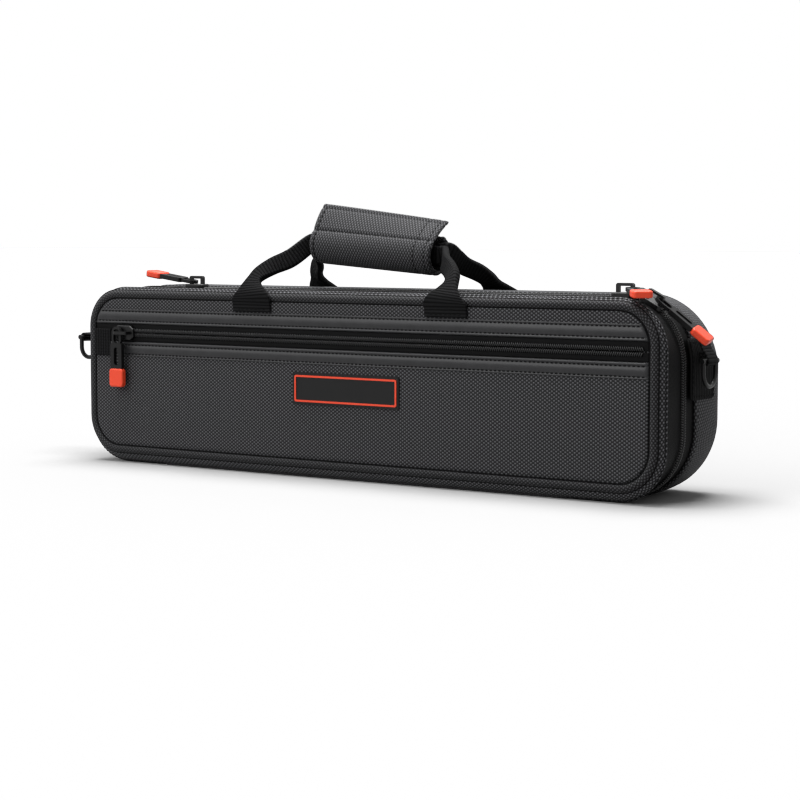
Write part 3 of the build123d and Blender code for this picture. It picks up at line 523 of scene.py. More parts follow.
def makeRolledEdge(name, bodyName, node, halfX, zLow, zHigh, corner, y):
    # round cord covered in tape, a tube carried round the seam's outline
    radius = 2.8
    grow = radius + 0.1
    a = np.radians(np.arange(0, 360, 22.5))
    dy = radius * np.cos(a)
    dg = radius * np.sin(a)
    grid = rectPoints(fineLoop, halfX + grow + dg, zLow - grow - dg, zHigh + grow + dg, corner + grow + dg, y + dy)
    s = np.arange(len(grid))[:, None, None]
    grid[..., 1:2] += 0.05 * np.sin(s * 0.9)
    meshFrom(name, [(grid, True, True, False)], mats["piping"], bodyName, [node])
    # a thin dark cord lies in the crease on each side of it
    out = -1 if y < 0 else 1
    cords = []
    b = np.radians(np.arange(0, 360, 60))
    for away, rise in ((grow - 2.45, 1.55), (grow + 2.55, 0.75)):
        g, d = away + 0.5 * np.sin(b), out * rise + 0.5 * np.cos(b)
        cords.append((rectPoints(fineLoop, halfX + g, zLow - g, zHigh + g, corner + g, y + d), True, True, False))
    meshFrom(f"{name}_seam_cords", cords, mats["thread"], bodyName)


makeFrontCover()
makeRearCover()
tapePieces()
makeRolledEdge("front_rolled_edge", "lid", "front_piping", body["seamHalf"], body["seamLow"], body["seamHigh"],
               body["seamCorner"], body["front"] + 2.8)
makeRolledEdge("rear_rolled_edge", "base", "rear_piping", body["halfLength"] - 15.0, 15.0, 101.0, 31.0, 40.0 - 2.8)
print("covers and edges made")

# front panels
panelSet = dict(gap=0.15, levels=(101.0, 91.5, 79.9, 70.4))


def seamHalfAt(z, gap=0.0):
    # half width of the front seam's outline at a height
    r = body["seamCorner"] - gap
    low, high = body["seamLow"] + gap, body["seamHigh"] - gap
    half = body["seamHalf"] - gap
    dz = np.maximum(np.maximum(low + r - z, z - (high - r)), 0)
    return half - r + np.sqrt(np.maximum(r * r - dz * dz, 0))


def bandPiece(name, z0, z1, profile, back, material, replaces, columns=80, x0=None, x1=None, bodyName="lid",
              gap=0.15):
    # front surface given as (height share, proud) pairs from the bottom up, closed by its back; the ends
    # follow the seam's outline and sink a little into the seam
    profile = np.asarray(profile, float)
    z = z0 + (z1 - z0) * profile[:, 0]
    zz = np.concatenate([z, z[::-1][[0, -1]]])
    proud = np.concatenate([profile[:, 1], [0, 0]])
    share = np.linspace(-1, 1, columns)
    share = np.sign(share) * (1 - (1 - np.abs(share)) ** 1.5)
    half = seamHalfAt(zz, gap)
    left = -half if x0 is None else np.maximum(-half, x0)
    right = half if x1 is None else np.minimum(half, x1)
    x = left[None] + (right - left)[None] * (share[:, None] + 1) / 2
    fade = np.clip((1 - np.abs(share)) * (right - left).max() / 2 / 1.5, 0, 1) ** 0.5
    fade = 0.35 + 0.65 * fade
    y = back - proud[None] * fade[:, None]
    grid = np.stack([x, y, np.broadcast_to(zz, x.shape)], -1)
    return meshFrom(name, [(grid, False, True, True)], material, bodyName, replaces, flatUV=(0, 2))


def plainProfile(thick, edge=0.5, crown=0.0, count=14):
    # flat front with rounded long edges and an optional crown
    t = np.linspace(0, 1, count)
    body_ = thick + crown * np.sin(math.pi * t)
    rows = [(0.0, 0.0), (0.0, thick * 0.6)] + [(a, b) for a, b in zip(0.004 + 0.992 * t, body_)] + [(1.0, thick * 0.6), (1.0, 0.0)]
    return rows


def makePanels():
    bed = body["frontBed"]
    top, upTape, lowTape, low = panelSet["levels"]
    bandPiece("top_strip_fabric", top - 0.3, body["seamHigh"] - 0.1, plainProfile(1.2, crown=0.15), bed, mats["panel"],
              ["front_top_strip"])
    bandPiece("pocket_panel_fabric", body["seamLow"] + 0.1, low + 0.4, plainProfile(1.2, crown=0.3, count=30), bed,
              mats["panel"], ["pocket_panel"], columns=120)
    upper = [(0, 0), (0, 0.9), (0.02, 1.5), (0.07, 2.1), (0.13, 1.95), (0.17, 1.45), (0.20, 1.2), (0.23, 1.4), (0.28, 1.66),
             (0.5, 1.85), (0.78, 1.62), (0.82, 1.4), (0.855, 1.2), (0.89, 1.42), (0.93, 1.64), (0.97, 1.68), (1, 1.4), (1, 0)]
    bandPiece("upper_trim_leather", upTape, top, upper, bed, mats["trim"], ["pocket_upper_trim"])
    lower = [(0, 0), (0, 1.4), (0.03, 1.66), (0.08, 1.62), (0.11, 1.42), (0.145, 1.2), (0.18, 1.42), (0.22, 1.62), (0.5, 1.85),
             (0.70, 1.62), (0.73, 1.42), (0.765, 1.2), (0.80, 1.45), (0.85, 2.0), (0.93, 2.2), (0.98, 1.6), (1, 0.9), (1, 0)]
    bandPiece("lower_trim_leather", low, lowTape, lower, bed, mats["trim"], ["pocket_lower_trim"])
    x0 = -215 + 9.5 + 15
    mid = 85.7
    tape = [(0, 0), (0, 0.7), (0.1, 0.8), (0.3, 0.8), (0.5, 0.78), (0.9, 0.8), (1, 0.7), (1, 0)]
    bandPiece("pocket_tape_upper", mid + 0.3, upTape - 0.05, tape, bed, mats["tape"], ["pocket_upper_tape"])
    bandPiece("pocket_tape_lower", lowTape + 0.05, mid - 0.3, tape, bed, mats["tape"], ["pocket_lower_tape"], x0=x0)
    share = np.linspace(0.02, 0.98, 80)
    ribs = np.stack([share, 2.45 + 0.16 * np.abs(np.sin(share * np.pi * 9))], -1)
    garage = np.concatenate([[(0, 0), (0, 2.1)], ribs, [(1, 2.1), (1, 0)]])
    bandPiece("pocket_garage_cloth", low, low + 17.5, garage, bed, mats["webbing"], ["pocket_garage"],
              columns=20, x1=x0 - 0.1)


def stitchRow(name, path, ups, bodyName, pitch=3.4, length=2.5, wide=0.55, high=0.42, start=1.0, end=1.0):
    # one thread stitch after another along a path
    pts, tangents, at = along(path, pitch, start, end)
    if callable(ups):
        up = ups(pts)
    else:
        up = np.broadcast_to(np.asarray(ups, float), pts.shape)
    return beads(capsule(length, wide, high, bend=0.1), pts, tangents, up, name, mats["thread"], bodyName)


def makePanelStitches():
    bed = body["frontBed"]
    rows = dict(upper_low=(91.5 + 9.5 * 0.20, 1.3), upper_high=(91.5 + 9.5 * 0.855, 1.3),
                lower_high=(70.4 + 9.5 * 0.765, 1.3), lower_low=(70.4 + 9.5 * 0.145, 1.3))
    for name, (z, proud) in rows.items():
        half = float(seamHalfAt(np.array(z))) - 1.0
        path = np.array([[-half, bed - proud - 0.12, z], [half, bed - proud - 0.12, z]])
        stitchRow(f"stitches_{name}", path, (0, -1, 0), "lid", 2.9, 1.9, 0.75, 0.5)


makePanels()
makePanelStitches()

# zipper coils
coilSet = dict(pitch=1.45, rise=1.25, rowInner=0.15, rowOuter=2.75)


def pathRound(y, inset, limit=150.0, samples=fineLoop):
    # line round the body at one depth, from the right end of the hinge strip round to its left end
    run = bodyPoints(samples, [y], [inset])[:, 0]
    keep = ~((np.abs(run[:, 0]) < limit) & (run[:, 2] < 20))
    run = run[keep]
    first = run[0].copy(); first[0] = limit
    last = run[-1].copy(); last[0] = -limit
    return np.concatenate([[first], run, [last]])


def outwards(pts, y):
    # unit direction away from the body in the plane of its outline
    r = cornerAt(np.full(len(pts), y))
    cx = np.clip(pts[:, 0], -(body["halfLength"] - r), body["halfLength"] - r)
    cz = np.clip(pts[:, 2], r, body["height"] - r)
    d = np.stack([pts[:, 0] - cx, np.zeros(len(pts)), pts[:, 2] - cz], -1)
    return unit(d)


def makeCoils():
    # a coil is a row of short bowed rods that slant across the tape; the two rows lean the same way, which
    # gives the herringbone look, and are half a pitch apart
    for name, bodyName, node, side in (("front_coil", "lid", "front_zip_teeth", -1), ("rear_coil", "base", "rear_zip_teeth", 1)):
        y = body["zip"] + side * 1.5
        path = pathRound(y, 1.6 - 0.62)
        pts, tangents, at = along(path, coilSet["pitch"], 1.0 + 0.35 * side, 1.0)
        ups = outwards(pts, y)
        across = np.cross(ups, tangents)
        rod = capsule(2.75, 0.95, 0.95, rings=5, sides=6, bend=0.3, slant=0.28 * side)
        beads(rod, pts, across, ups, name, mats["coil"], bodyName, [node])
    x0, x1 = -215 + 9.5 + 16, 202.5
    pieces = []
    for side in (-1, 1):
        z = 85.7 + side * 1.5
        path = np.array([[x0, body["frontBed"] - 0.8 - 0.55, z], [x1, body["frontBed"] - 0.8 - 0.55, z]])
        pts, tangents, at = along(path, 1.35, 0.35 * (1 + side), 0.35 * (1 - side))
        ups = np.broadcast_to([0.0, -1.0, 0.0], pts.shape)
        across = np.cross(ups, tangents)
        rod = capsule(2.75, 0.9, 0.9, rings=5, sides=6, bend=0.25, slant=0.45 * side)
        pieces.append((rod, pts, across, ups))
    for k, (rod, pts, across, ups) in enumerate(pieces):
        beads(rod, pts, across, ups, f"pocket_coil_{k + 1}", mats["coil"], "lid", ["pocket_zip_teeth"])


def makeHemStitches():
    # a row of stitches round each cover, just inside its hem, and one on each tape beside it
    for name, bodyName, y, inset in (("front_hem", "lid", -34.5, 1.34), ("rear_hem", "base", 2.0, 0.02),
                                     ("front_tape", "lid", -31.4, 1.5), ("rear_tape", "base", -1.6, 1.5)):
        path = pathRound(y, inset)
        stitchRow(f"stitches_{name}", path, lambda q, y=y: outwards(q, y), bodyName, 2.9, 1.9, 0.7, 0.4)


makeCoils()
makeHemStitches()
print("panels and zippers made")


def paint(material, *names):
    for name in names:
        cad[name].data.materials.clear()
        cad[name].data.materials.append(material)


paint(mats["metal"], "slider_1", "slider_2", "slider_3", "pocket_slider", "left_d_ring", "right_d_ring")
for pull in ("pull_1", "pull_2", "pull_3", "pocket_pull"):
    paint(mats["rubber"], f"{pull}_stem")
    paint(mats["orange"], f"{pull}_tip")
paint(mats["rubber"], "label_patch")
paint(mats["orange"], "label_frame")

# handle
# a course's columns: towards the grip, out from the face, above the body, lean, width, thickness
strap = dict(
    foot=72.5, rearRightFoot=64.0, tilt=4.5, gripHalf=45.0, gripY=-5.0, gripZ=141.0, top=116.0, low=101.8,
    frontFace=-40.3, rearFace=40.9, lane=2.5, entryOut=1.0, entryLead=4.6, frontHigh=11.0, rearHigh=14.6, thick=4.2,
    frontCourse=((0, 0.1, -10, 0, 30, 1.8), (0, 1.1, -5.7, 0, 29.6, 1.8), (-0.3, 1.0, -2, 2, 24, 2.0),
                 (-0.8, -0.8, 1.8, 5, 15.5, 2.8), (-1, -4.2, 5.6, 12, 9.6, 4.4), (0.8, -8.4, 9.6, 36, 9.4, 5.0),
                 (6.5, -14.2, 13.8, 60, 10.6, 4.4), (14.5, -21.6, 18, 74, 11.4, 4.2)),
    rearCourse=((0, 0.2, -9.5, 0, 30, 1.8), (0, -0.4, -6, 0, 29, 1.8), (0.8, -4.2, -2.2, 2, 25, 2.0),
                (2, -9.8, 1.2, 5, 19, 2.6), (3, -14.6, 4.2, 12, 13, 3.6), (4.2, -18.6, 7.6, 36, 10.4, 4.6),
                (8.5, -24.5, 11.6, 60, 10.8, 4.4), (16.5, -33, 16.4, 76, 11.4, 4.2)),
)


def strapKeys(side, end):
    # stations of one leg: place, turn of the width from X towards the vertical, width and thickness; the
    # last ones enter the wrap beside each other
    slope = -end * math.sin(math.radians(strap["tilt"]))
    face = strap["frontFace"] if side < 0 else strap["rearFace"]
    foot = strap["rearRightFoot"] if side > 0 and end > 0 else strap["foot"]
    entry = strap["gripHalf"] * math.cos(math.radians(strap["tilt"])) + strap["entryOut"]
    near = entry + strap["entryLead"]
    shorter = (foot - near) / (strap["foot"] - near)
    lane = strap["gripY"] + side * strap["lane"]
    high = strap["frontHigh"] if side < 0 else strap["rearHigh"]
    course = np.array(strap["frontCourse"] if side < 0 else strap["rearCourse"], float)
    rows = [(foot, face, strap["low"], 0, 30, 1.8)]
    for inward, out, rise, lean, wide, thick in course:
        rows.append((foot - inward * shorter, face + side * out, strap["top"] + rise + slope * max(inward, 0), lean, wide, thick))
    for x, along_ in ((near, strap["gripHalf"]), (entry, strap["gripHalf"]), (entry - 4.0, strap["gripHalf"] - 4.0)):
        rows.append((x, lane, strap["gripZ"] + slope * along_, 90, high, strap["thick"]))
    return np.array([(end * r[0], *r[1:]) for r in rows])


def ribbon(keys, end, count):
    # smooth path through the stations; the width direction turns with the strap and the section is a
    # rounded bar, thicker where the strap is folded over
    k = smoothPath(keys, count)
    c = k[:, :3]
    t = unit(np.gradient(c, axis=0))
    a = np.radians(k[:, 3])
    w = np.stack([np.cos(a), 0 * a, end * np.sin(a)], -1)
    w = unit(w - (w * t).sum(-1, keepdims=True) * t)
    n = np.cross(t, w)
    loops = []
    for wide, thick in k[:, 4:6]:
        loops.append(roundBar(wide / 2, thick / 2, min(thick / 2 - 0.02, 1.6), 5))
    return sections(c, w, n, np.array(loops))


def makeStraps():
    for side, bodyName, node in ((-1, "lid", "front_handle_strap"), (1, "base", "rear_handle_strap")):
        legs = []
        for end in (-1, 1):
            legs.append((ribbon(strapKeys(side, end), end, 90), False, True, True))
        inner = [strapKeys(side, end)[-1] for end in (-1, 1)]
        centres = np.linspace(inner[0][:3], inner[1][:3], 12)
        up = np.broadcast_to([0.0, 0.0, 1.0], centres.shape)
        back = np.broadcast_to([0.0, 1.0, 0.0], centres.shape)
        loop = roundBar((strap["frontHigh"] if side < 0 else strap["rearHigh"]) / 2 - 0.1, 2.0, 1.5, 5)
        legs.append((sections(centres, up, back, np.broadcast_to(loop, (12, *loop.shape))), False, True, True))
        meshFrom(f"{'front' if side < 0 else 'rear'}_webbing", legs, mats["webbing"], bodyName, [node])
        # a row of stitches across each foot
        y = strap["frontFace"] - 0.95 if side < 0 else strap["rearFace"] + 0.95
        for end, word in ((-1, "left"), (1, "right")):
            foot = end * (strap["rearRightFoot"] if side > 0 and end > 0 else strap["foot"])
            x0, x1 = foot - 12.5, foot + 12.5
            path = np.array([[x0, y, 103.4], [x1, y, 103.4]])
            stitchRow(f"{'front' if side < 0 else 'rear'}_foot_stitches_{word}", path, (0, side, 0), bodyName, 3.0, 2.2)


gripSet = dict(radius=12.5, pad=3.6, leaf=20.5, slopes=(59.0, 40.0), start=-77.0, fold=140.0, back=(-73.0, 70.0), length=90.0)


def gripFrame(s):
    # from local (along the grip from its left end, rearwards, up) to the row frame, turned by the tilt
    tilt = math.radians(strap["tilt"])
    n = np.array([math.cos(tilt), 0, -math.sin(tilt)])
    up = np.array([math.sin(tilt), 0, math.cos(tilt)])
    o = np.array([0, strap["gripY"], strap["gripZ"]]) - n * gripSet["length"] / 2
    return o + s[..., :1] * n + s[..., 1:2] * np.array([0, 1.0, 0]) + s[..., 2:] * up


def gripSheet(lineAt, halves, length, stations=64, ends=1.6, seams=()):
    # a padded sheet: its middle line in section is carried along the grip, half its thickness to each
    # side, thinner at the hems and along the sewn rows
    share = np.linspace(-1, 1, stations)
    share = np.sign(share) * (1 - (1 - np.abs(share)) ** 1.7)
    u = (share + 1) / 2 * length
    line = lineAt(u)
    t = unit(np.gradient(line, axis=1))
    n = np.stack([t[..., 1], -t[..., 0]], -1)
    edge = np.minimum(u, length - u)
    press = 0.42 + 0.58 * np.clip(edge / ends, 0, 1) ** 0.5
    for at, depth, wide in seams:
        press = press * (1 - depth * np.exp(-((u - at) / wide) ** 2))
    h = halves[None, :] * press[:, None]
    outer = line + n * h[..., None]
    inner = line - n * h[..., None]
    loop = np.concatenate([outer, inner[:, ::-1]], axis=1)
    local = np.concatenate([np.broadcast_to(u[:, None, None], (*loop.shape[:2], 1)), loop], -1)
    return gripFrame(local)


def flapLine(u, count=60):
    # section of the flap at each place along the grip: an arc from the seam under the grip forwards over
    # its front to the fold, then the leaf, a little bowed, up to the rear; the leaf is twisted, steeper at
    # its left end
    u = np.atleast_1d(np.asarray(u, float))
    r = gripSet["radius"] - gripSet["pad"] / 2
    a = np.radians(np.linspace(gripSet["start"], gripSet["fold"] - 360, count))
    arc = np.stack([r * np.cos(a), r * np.sin(a)], -1)
    slope = np.radians(np.interp(u, (0, gripSet["length"]), gripSet["slopes"]))[:, None]
    s = np.linspace(0.6, gripSet["leaf"], 30)[None]
    bow = 1.1 * np.sin(math.pi * s / gripSet["leaf"])
    leaf = arc[-1] + np.stack([s * np.cos(slope) - bow * np.sin(slope), s * np.sin(slope) + bow * np.cos(slope)], -1)
    line = np.concatenate([np.broadcast_to(arc, (len(u), *arc.shape)), leaf], axis=1)
    for k in range(3):
        line[:, 1:-1] = (line[:, :-2] + 2 * line[:, 1:-1] + line[:, 2:]) / 4
    return line


def halvesAlong(line, full, hems, seams):
    # half thickness along the section: full in the middle, thin at both hems, pinched at the seams
    step = np.concatenate([[0], np.cumsum(np.linalg.norm(np.diff(line, axis=0), axis=1))])
    total = step[-1]
    h = full * (hems + (1 - hems) * np.clip(np.minimum(step, total - step) / 1.4, 0, 1) ** 0.5)
    for at, depth, wide in seams:
        h = h * (1 - depth * np.exp(-((step - at) / wide) ** 2))
    return h, step


def makeGrip():
    line = flapLine(gripSet["length"] / 2)[0]
    arcLength = math.radians(abs(gripSet["fold"] - 360 - gripSet["start"])) * (gripSet["radius"] - gripSet["pad"] / 2)
    total = arcLength + gripSet["leaf"]
    seams = [(arcLength + 1.5, 0.55, 0.8), (total - 3.4, 0.5, 0.75)]
    h, step = halvesAlong(line, gripSet["pad"] / 2, 0.35, seams)
    h = np.where(step > arcLength, h * 0.82, h)
    cross = [(3.4, 0.3, 0.8), (gripSet["length"] - 3.4, 0.3, 0.8), (gripSet["length"] - 11.5, 0.24, 0.8)]
    grid = gripSheet(flapLine, h, gripSet["length"], seams=cross)
    meshFrom("wrap_flap_fabric", [(grid, False, True, True)], mats["grip"], "grip_flap", ["grip_flap"])
    r = gripSet["radius"] - gripSet["pad"] / 2
    a = np.radians(np.linspace(*gripSet["back"], 40))
    backLine = np.stack([r * np.cos(a), r * np.sin(a)], -1)[::-1]
    hb, stepB = halvesAlong(backLine, gripSet["pad"] / 2, 0.35, [(3.0, 0.3, 0.7)])
    gridB = gripSheet(lambda u: np.broadcast_to(backLine, (len(u), *backLine.shape)), hb, gripSet["length"],
                      seams=[(3.4, 0.2, 0.8), (gripSet["length"] - 3.4, 0.2, 0.8)])
    meshFrom("wrap_back_fabric", [(gridB, False, True, True)], mats["grip"], "base", ["grip_back"])
    makeWrapStitches(h, step, arcLength, total)


def makeWrapStitches(h, step, arcLength, total):
    # rows of stitches on the outer side: along the fold and the hem, and across near both ends
    L = gripSet["length"]

    def surface(u, lift):
        line = flapLine(u)[0]
        t = unit(np.gradient(line, axis=0))
        n = np.stack([-t[:, 1], t[:, 0]], -1)
        return line + n * (h + lift)[:, None], n

    def place(u, p):
        return gripFrame(np.concatenate([np.full((len(p), 1), u), p], -1))

    for name, distance in (("fold", arcLength + 1.5), ("hem", total - 3.4)):
        k = int(np.argmin(np.abs(step - distance)))
        ends = [surface(u, 0.02) for u in (1.5, L - 1.5)]
        path = np.concatenate([place(u, e[0][k:k + 1]) for u, e in zip((1.5, L - 1.5), ends)])
        up = place(0, ends[0][1][k:k + 1] + ends[1][1][k:k + 1]) - gripFrame(np.zeros((1, 3)))
        stitchRow(f"wrap_stitches_{name}", path, up[0], "grip_flap", 3.0, 2.4, 0.8, 0.5)
    for name, at in (("left", 3.4), ("right", L - 3.4), ("cross", L - 11.5)):
        pts, n = surface(at, 0.0)
        picks = np.arange(12, len(pts) - 2)
        pts = pts[picks] - n[picks] * (h[picks] * 0.26 - 0.05)[:, None]
        path = place(at, pts)
        ups = place(0, n[picks]) - gripFrame(np.zeros((1, 3)))

        def nearest(q, path=path, ups=ups):
            i = np.argmin(((q[:, None] - path[None]) ** 2).sum(-1), axis=1)
            return ups[i]

        stitchRow(f"wrap_stitches_{name}", path, nearest, "grip_flap", 3.0, 2.4, 0.8, 0.5)


makeStraps()
makeGrip()
print("handle made")

# ring patches and loops
patchSet = dict(y0=-8.0, y1=22.0, z0=57.0, z1=92.0, thick=0.9, corner=2.5)


def sideX(y, z, inset):
    # distance of the body's end from its middle at a height, for one depth and inset
    r = cornerAt(y) - inset
    high = body["height"] / 2 - inset - r
    dz = np.maximum(np.abs(z - body["height"] / 2) - high, 0)
    return body["halfLength"] - inset - r + np.sqrt(np.maximum(r * r - dz * dz, 0))


def makePatch(side, word):
    # a cloth patch that follows the end: rows run up it and each row's closed loop goes over the front
    # and back behind it
    z = np.linspace(patchSet["z0"], patchSet["z1"], 30)
    c = patchSet["corner"]
    dz = np.maximum(np.maximum(patchSet["z0"] + c - z, z - patchSet["z1"] + c), 0)
    pull = c - np.sqrt(np.maximum(c * c - dz * dz, 0))
    share = np.linspace(0, 1, 16)
    y = (patchSet["y0"] + pull)[:, None] * (1 - share) + (patchSet["y1"] - pull)[:, None] * share
    rise = patchSet["thick"] * np.clip(np.minimum(share, 1 - share) * 14 + 0.4, 0, 1)[None] * np.ones_like(y)
    zz = np.broadcast_to(z[:, None], y.shape)
    front = sideX(y, zz, 0.0) + rise
    back = sideX(y, zz, 0.0) - 0.1
    grid = np.concatenate([np.stack([side * front, y, zz], -1), np.stack([side * back, y, zz], -1)[:, ::-1]], axis=1)
    meshFrom(f"{word}_patch_webbing", [(grid, False, True, True)], mats["webbing"], "base", [f"{word}_ring_patch"],
             flatUV=(1, 2))
    # stitches round it
    m = 2.0
    y0, y1, z0, z1 = patchSet["y0"] + m, patchSet["y1"] - m, patchSet["z0"] + m, patchSet["z1"] - m
    walk = np.concatenate([np.stack([np.linspace(y0, y1, 20), np.full(20, z0)], -1), np.stack([np.full(24, y1), np.linspace(z0, z1, 24)], -1),
                           np.stack([np.linspace(y1, y0, 20), np.full(20, z1)], -1), np.stack([np.full(24, y0), np.linspace(z1, z0, 24)], -1)])
    x = sideX(walk[:, 0], walk[:, 1], 0.0) + patchSet["thick"] + 0.12
    path = np.stack([side * x, walk[:, 0], walk[:, 1]], -1)
    stitchRow(f"{word}_patch_stitches", path, (side, 0, 0), "base", 2.9, 2.1)


def makeLoop(side, word):
    # webbing laid round the ring's bar: a flat path of constant thickness, as wide as the webbing
    barX = 215 + (5.2 if side > 0 else 39.0)
    barZ = 79.0
    r = 1.6 + 0.6
    if side > 0:
        a = np.radians(np.linspace(20, -200, 26))
        turn = np.stack([barX + r * np.cos(a), barZ + r * np.sin(a)], -1)
        lead = np.array([(216.3, 91.5), (216.9, 89.0), (218.2, 86.0), (220.6, 83.0)])
        tail = np.array([(217.3, 81.5), (216.7, 83.0), (216.4, 84.5)])
        line = np.concatenate([smoothPath(lead, 16), turn, smoothPath(tail, 8)])
    else:
        a = np.radians(np.linspace(90, -90, 24))
        turn = np.stack([barX + r * np.cos(a), barZ + r * np.sin(a)], -1)
        upper = np.stack([np.linspace(215.8, barX - 1.0, 20), np.linspace(barZ + 0.75, barZ + r - 0.2, 20)], -1)
        lower = np.stack([np.linspace(barX - 1.0, 215.8, 20), np.linspace(barZ - r + 0.2, barZ - 0.75, 20)], -1)
        line = np.concatenate([upper, turn, lower])
    for k in range(2):
        line[1:-1] = (line[:-2] + 2 * line[1:-1] + line[2:]) / 4
    centres = np.stack([side * line[:, 0], np.full(len(line), 6.0), line[:, 1]], -1)
    t = unit(np.gradient(centres, axis=0))
    wide = np.broadcast_to([0.0, 1.0, 0.0], centres.shape)
    n = np.cross(t, wide)
    loop = roundBar(6.0, 0.58, 0.5, 4)
    grid = sections(centres, wide, n, np.broadcast_to(loop, (len(line), *loop.shape)))
    meshFrom(f"{word}_loop_webbing", [(grid, False, True, True)], mats["webbing"], "base", [f"{word}_ring_loop"])


for side, word in ((-1, "left"), (1, "right")):
    makePatch(side, word)
    makeLoop(side, word)

# rear panel, bottom strip and the inside
def makeRearPanel():
    # concentric rounded rectangles from the seam to the middle; the sheet swells a little
    inset = np.concatenate([[0.0, 0.05], np.linspace(0.4, 6, 8), np.linspace(8, 40, 12)])
    halfX, low, high, corner = 200.0 - 0.1, 15.1, 100.9, 31.0 - 0.1
    proud = 1.2 * np.clip(inset / 0.4, 0, 1) ** 0.5 + 0.5 * (1 - np.exp(-inset / 18))
    y = 38.2 + np.minimum(proud, 1.7)
    front = rectPoints(fineLoop, halfX - inset, low + inset, high - inset, np.maximum(corner - inset, 0.5), y)
    meshFrom("rear_panel_fabric", [(front.transpose(1, 0, 2), False, True, True)], mats["panel"], "base", ["rear_panel"],
             flatUV=(0, 2))


def makeHinge():
    # flat strip with ribbed fold lines under the bottom, between the two halves
    y = np.linspace(-19.8, -8.2, 48)
    z = 0.95 + 0.12 * np.cos((y + 14) * 1.9)
    x = np.linspace(-149.8, 149.8, 60)
    low = np.stack([*np.meshgrid(x, y, indexing="ij"), np.broadcast_to(z, (60, 48))], -1)
    top = low.copy()
    top[..., 2] = 2.25
    grid = np.concatenate([low, top[:, ::-1]], axis=1)
    piece = meshFrom("hinge_fabric", [(grid, False, True, True)], mats["hinge"], None, ["hinge_gusset"],
                     flatUV=(0, 1))
    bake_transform(piece)


def makeLinings():
    # plush from the middle of the floor out to the wall, up it and over the rim to the zipper's tape
    plans = (
        ("front_plush", "lid", ["front_lining", "front_tray"], -28.8 + 1.2, -14.4, -1),
        ("rear_plush", "base", ["rear_lining", "rear_tray"], 29.6 - 1.2 - 0.8, -13.6, 1),
    )
    for name, bodyName, nodes_, floor, rim, side in plans:
        deep = np.array([(floor, i) for i in (57.5, 50, 40, 30, 22, 16.5)] + [(floor - side * 0.5, 14.6), (floor - side * 2.5, 13.65)])
        wallY = np.linspace(floor - side * 5, rim + side * 2.2, 8)
        wall = np.stack([wallY, 13.6 + 0.0 * wallY], -1)
        lip = np.array([(rim + side * 0.9, 13.2), (rim + side * 0.25, 12.2), (rim + side * 0.12, 9.5), (rim + side * 0.1, 6.5),
                        (rim + side * 0.2, 4.2), (rim + side * 0.6, 2.9), (rim + side * 1.2, 2.5)])
        back = np.array([(rim + side * 6, 2.45), (rim + side * 9, 8.0), (floor - side * 6, 12.6), (floor + side * 0.9, 14.0),
                         (floor + side * 1.0, 30), (floor + side * 1.0, 57.5)])
        profile = np.concatenate([deep, wall, lip, back])
        ringPiece(name, profile, mats["plush"], bodyName, nodes_)


bedSet = dict(top=-6.0, floor=28.2, radius=14.0, depth=22.0, rise=21.5,
              troughs=((352.0, 0.0, 21.5), (222.0, -74.4, -21.5), (112.0, 129.4, -21.5)))


def makeBed():
    # height field over the bed: flat top, and where a trough runs, a channel whose section is a half
    # round with straight sides, with soft rounded lips
    samples = 300, 90
    inset = 13.7
    share = np.linspace(0, 1, samples[1])
    z = inset + (body["height"] - 2 * inset) * share
    r = cornerAt(np.array(bedSet["top"])) - inset
    dz = np.maximum(np.abs(z - body["height"] / 2) - (body["height"] / 2 - inset - r), 0)
    half = body["halfLength"] - inset - r + np.sqrt(np.maximum(r * r - dz * dz, 0))
    x = np.linspace(-1, 1, samples[0])[:, None] * half[None]
    zz = np.broadcast_to(z, x.shape)
    deep = np.zeros(x.shape)
    for long, cx, rise in bedSet["troughs"]:
        across = np.abs(zz - (body["height"] / 2 + rise))
        acrossX = np.abs(x - cx) - long / 2
        bowl = (bedSet["depth"] - bedSet["radius"]) + np.sqrt(np.maximum(bedSet["radius"] ** 2 - np.minimum(across, 14) ** 2, 0))
        inside = np.clip((bedSet["radius"] + 0.6 - across) / 1.6, 0, 1) * np.clip((0.6 - acrossX) / 1.6, 0, 1)
        inside = inside * inside * (3 - 2 * inside)
        deep = np.maximum(deep, bowl * inside)
    edge = np.minimum.reduce([half[None] - np.abs(x), zz - inset + 0 * x, body["height"] - inset - zz + 0 * x])
    top = bedSet["top"] + 1.2 * np.exp(-np.maximum(edge, 0) / 1.0)
    front = np.stack([x, top + deep, zz], -1)
    back = np.stack([x, np.full(x.shape, bedSet["floor"]), zz], -1)[:, [-1, 0]]
    grid = np.concatenate([front, back], axis=1)
    meshFrom("flute_bed_plush", [(grid, False, True, True)], mats["plush"], "base", ["bed_base", "bed_upper_wall", "bed_middle_wall", "bed_lower_wall", "bed_upper_left_end", "bed_upper_right_end",
              "bed_lower_left_end", "bed_lower_right_end", "bed_divider"], flatUV=(0, 2))


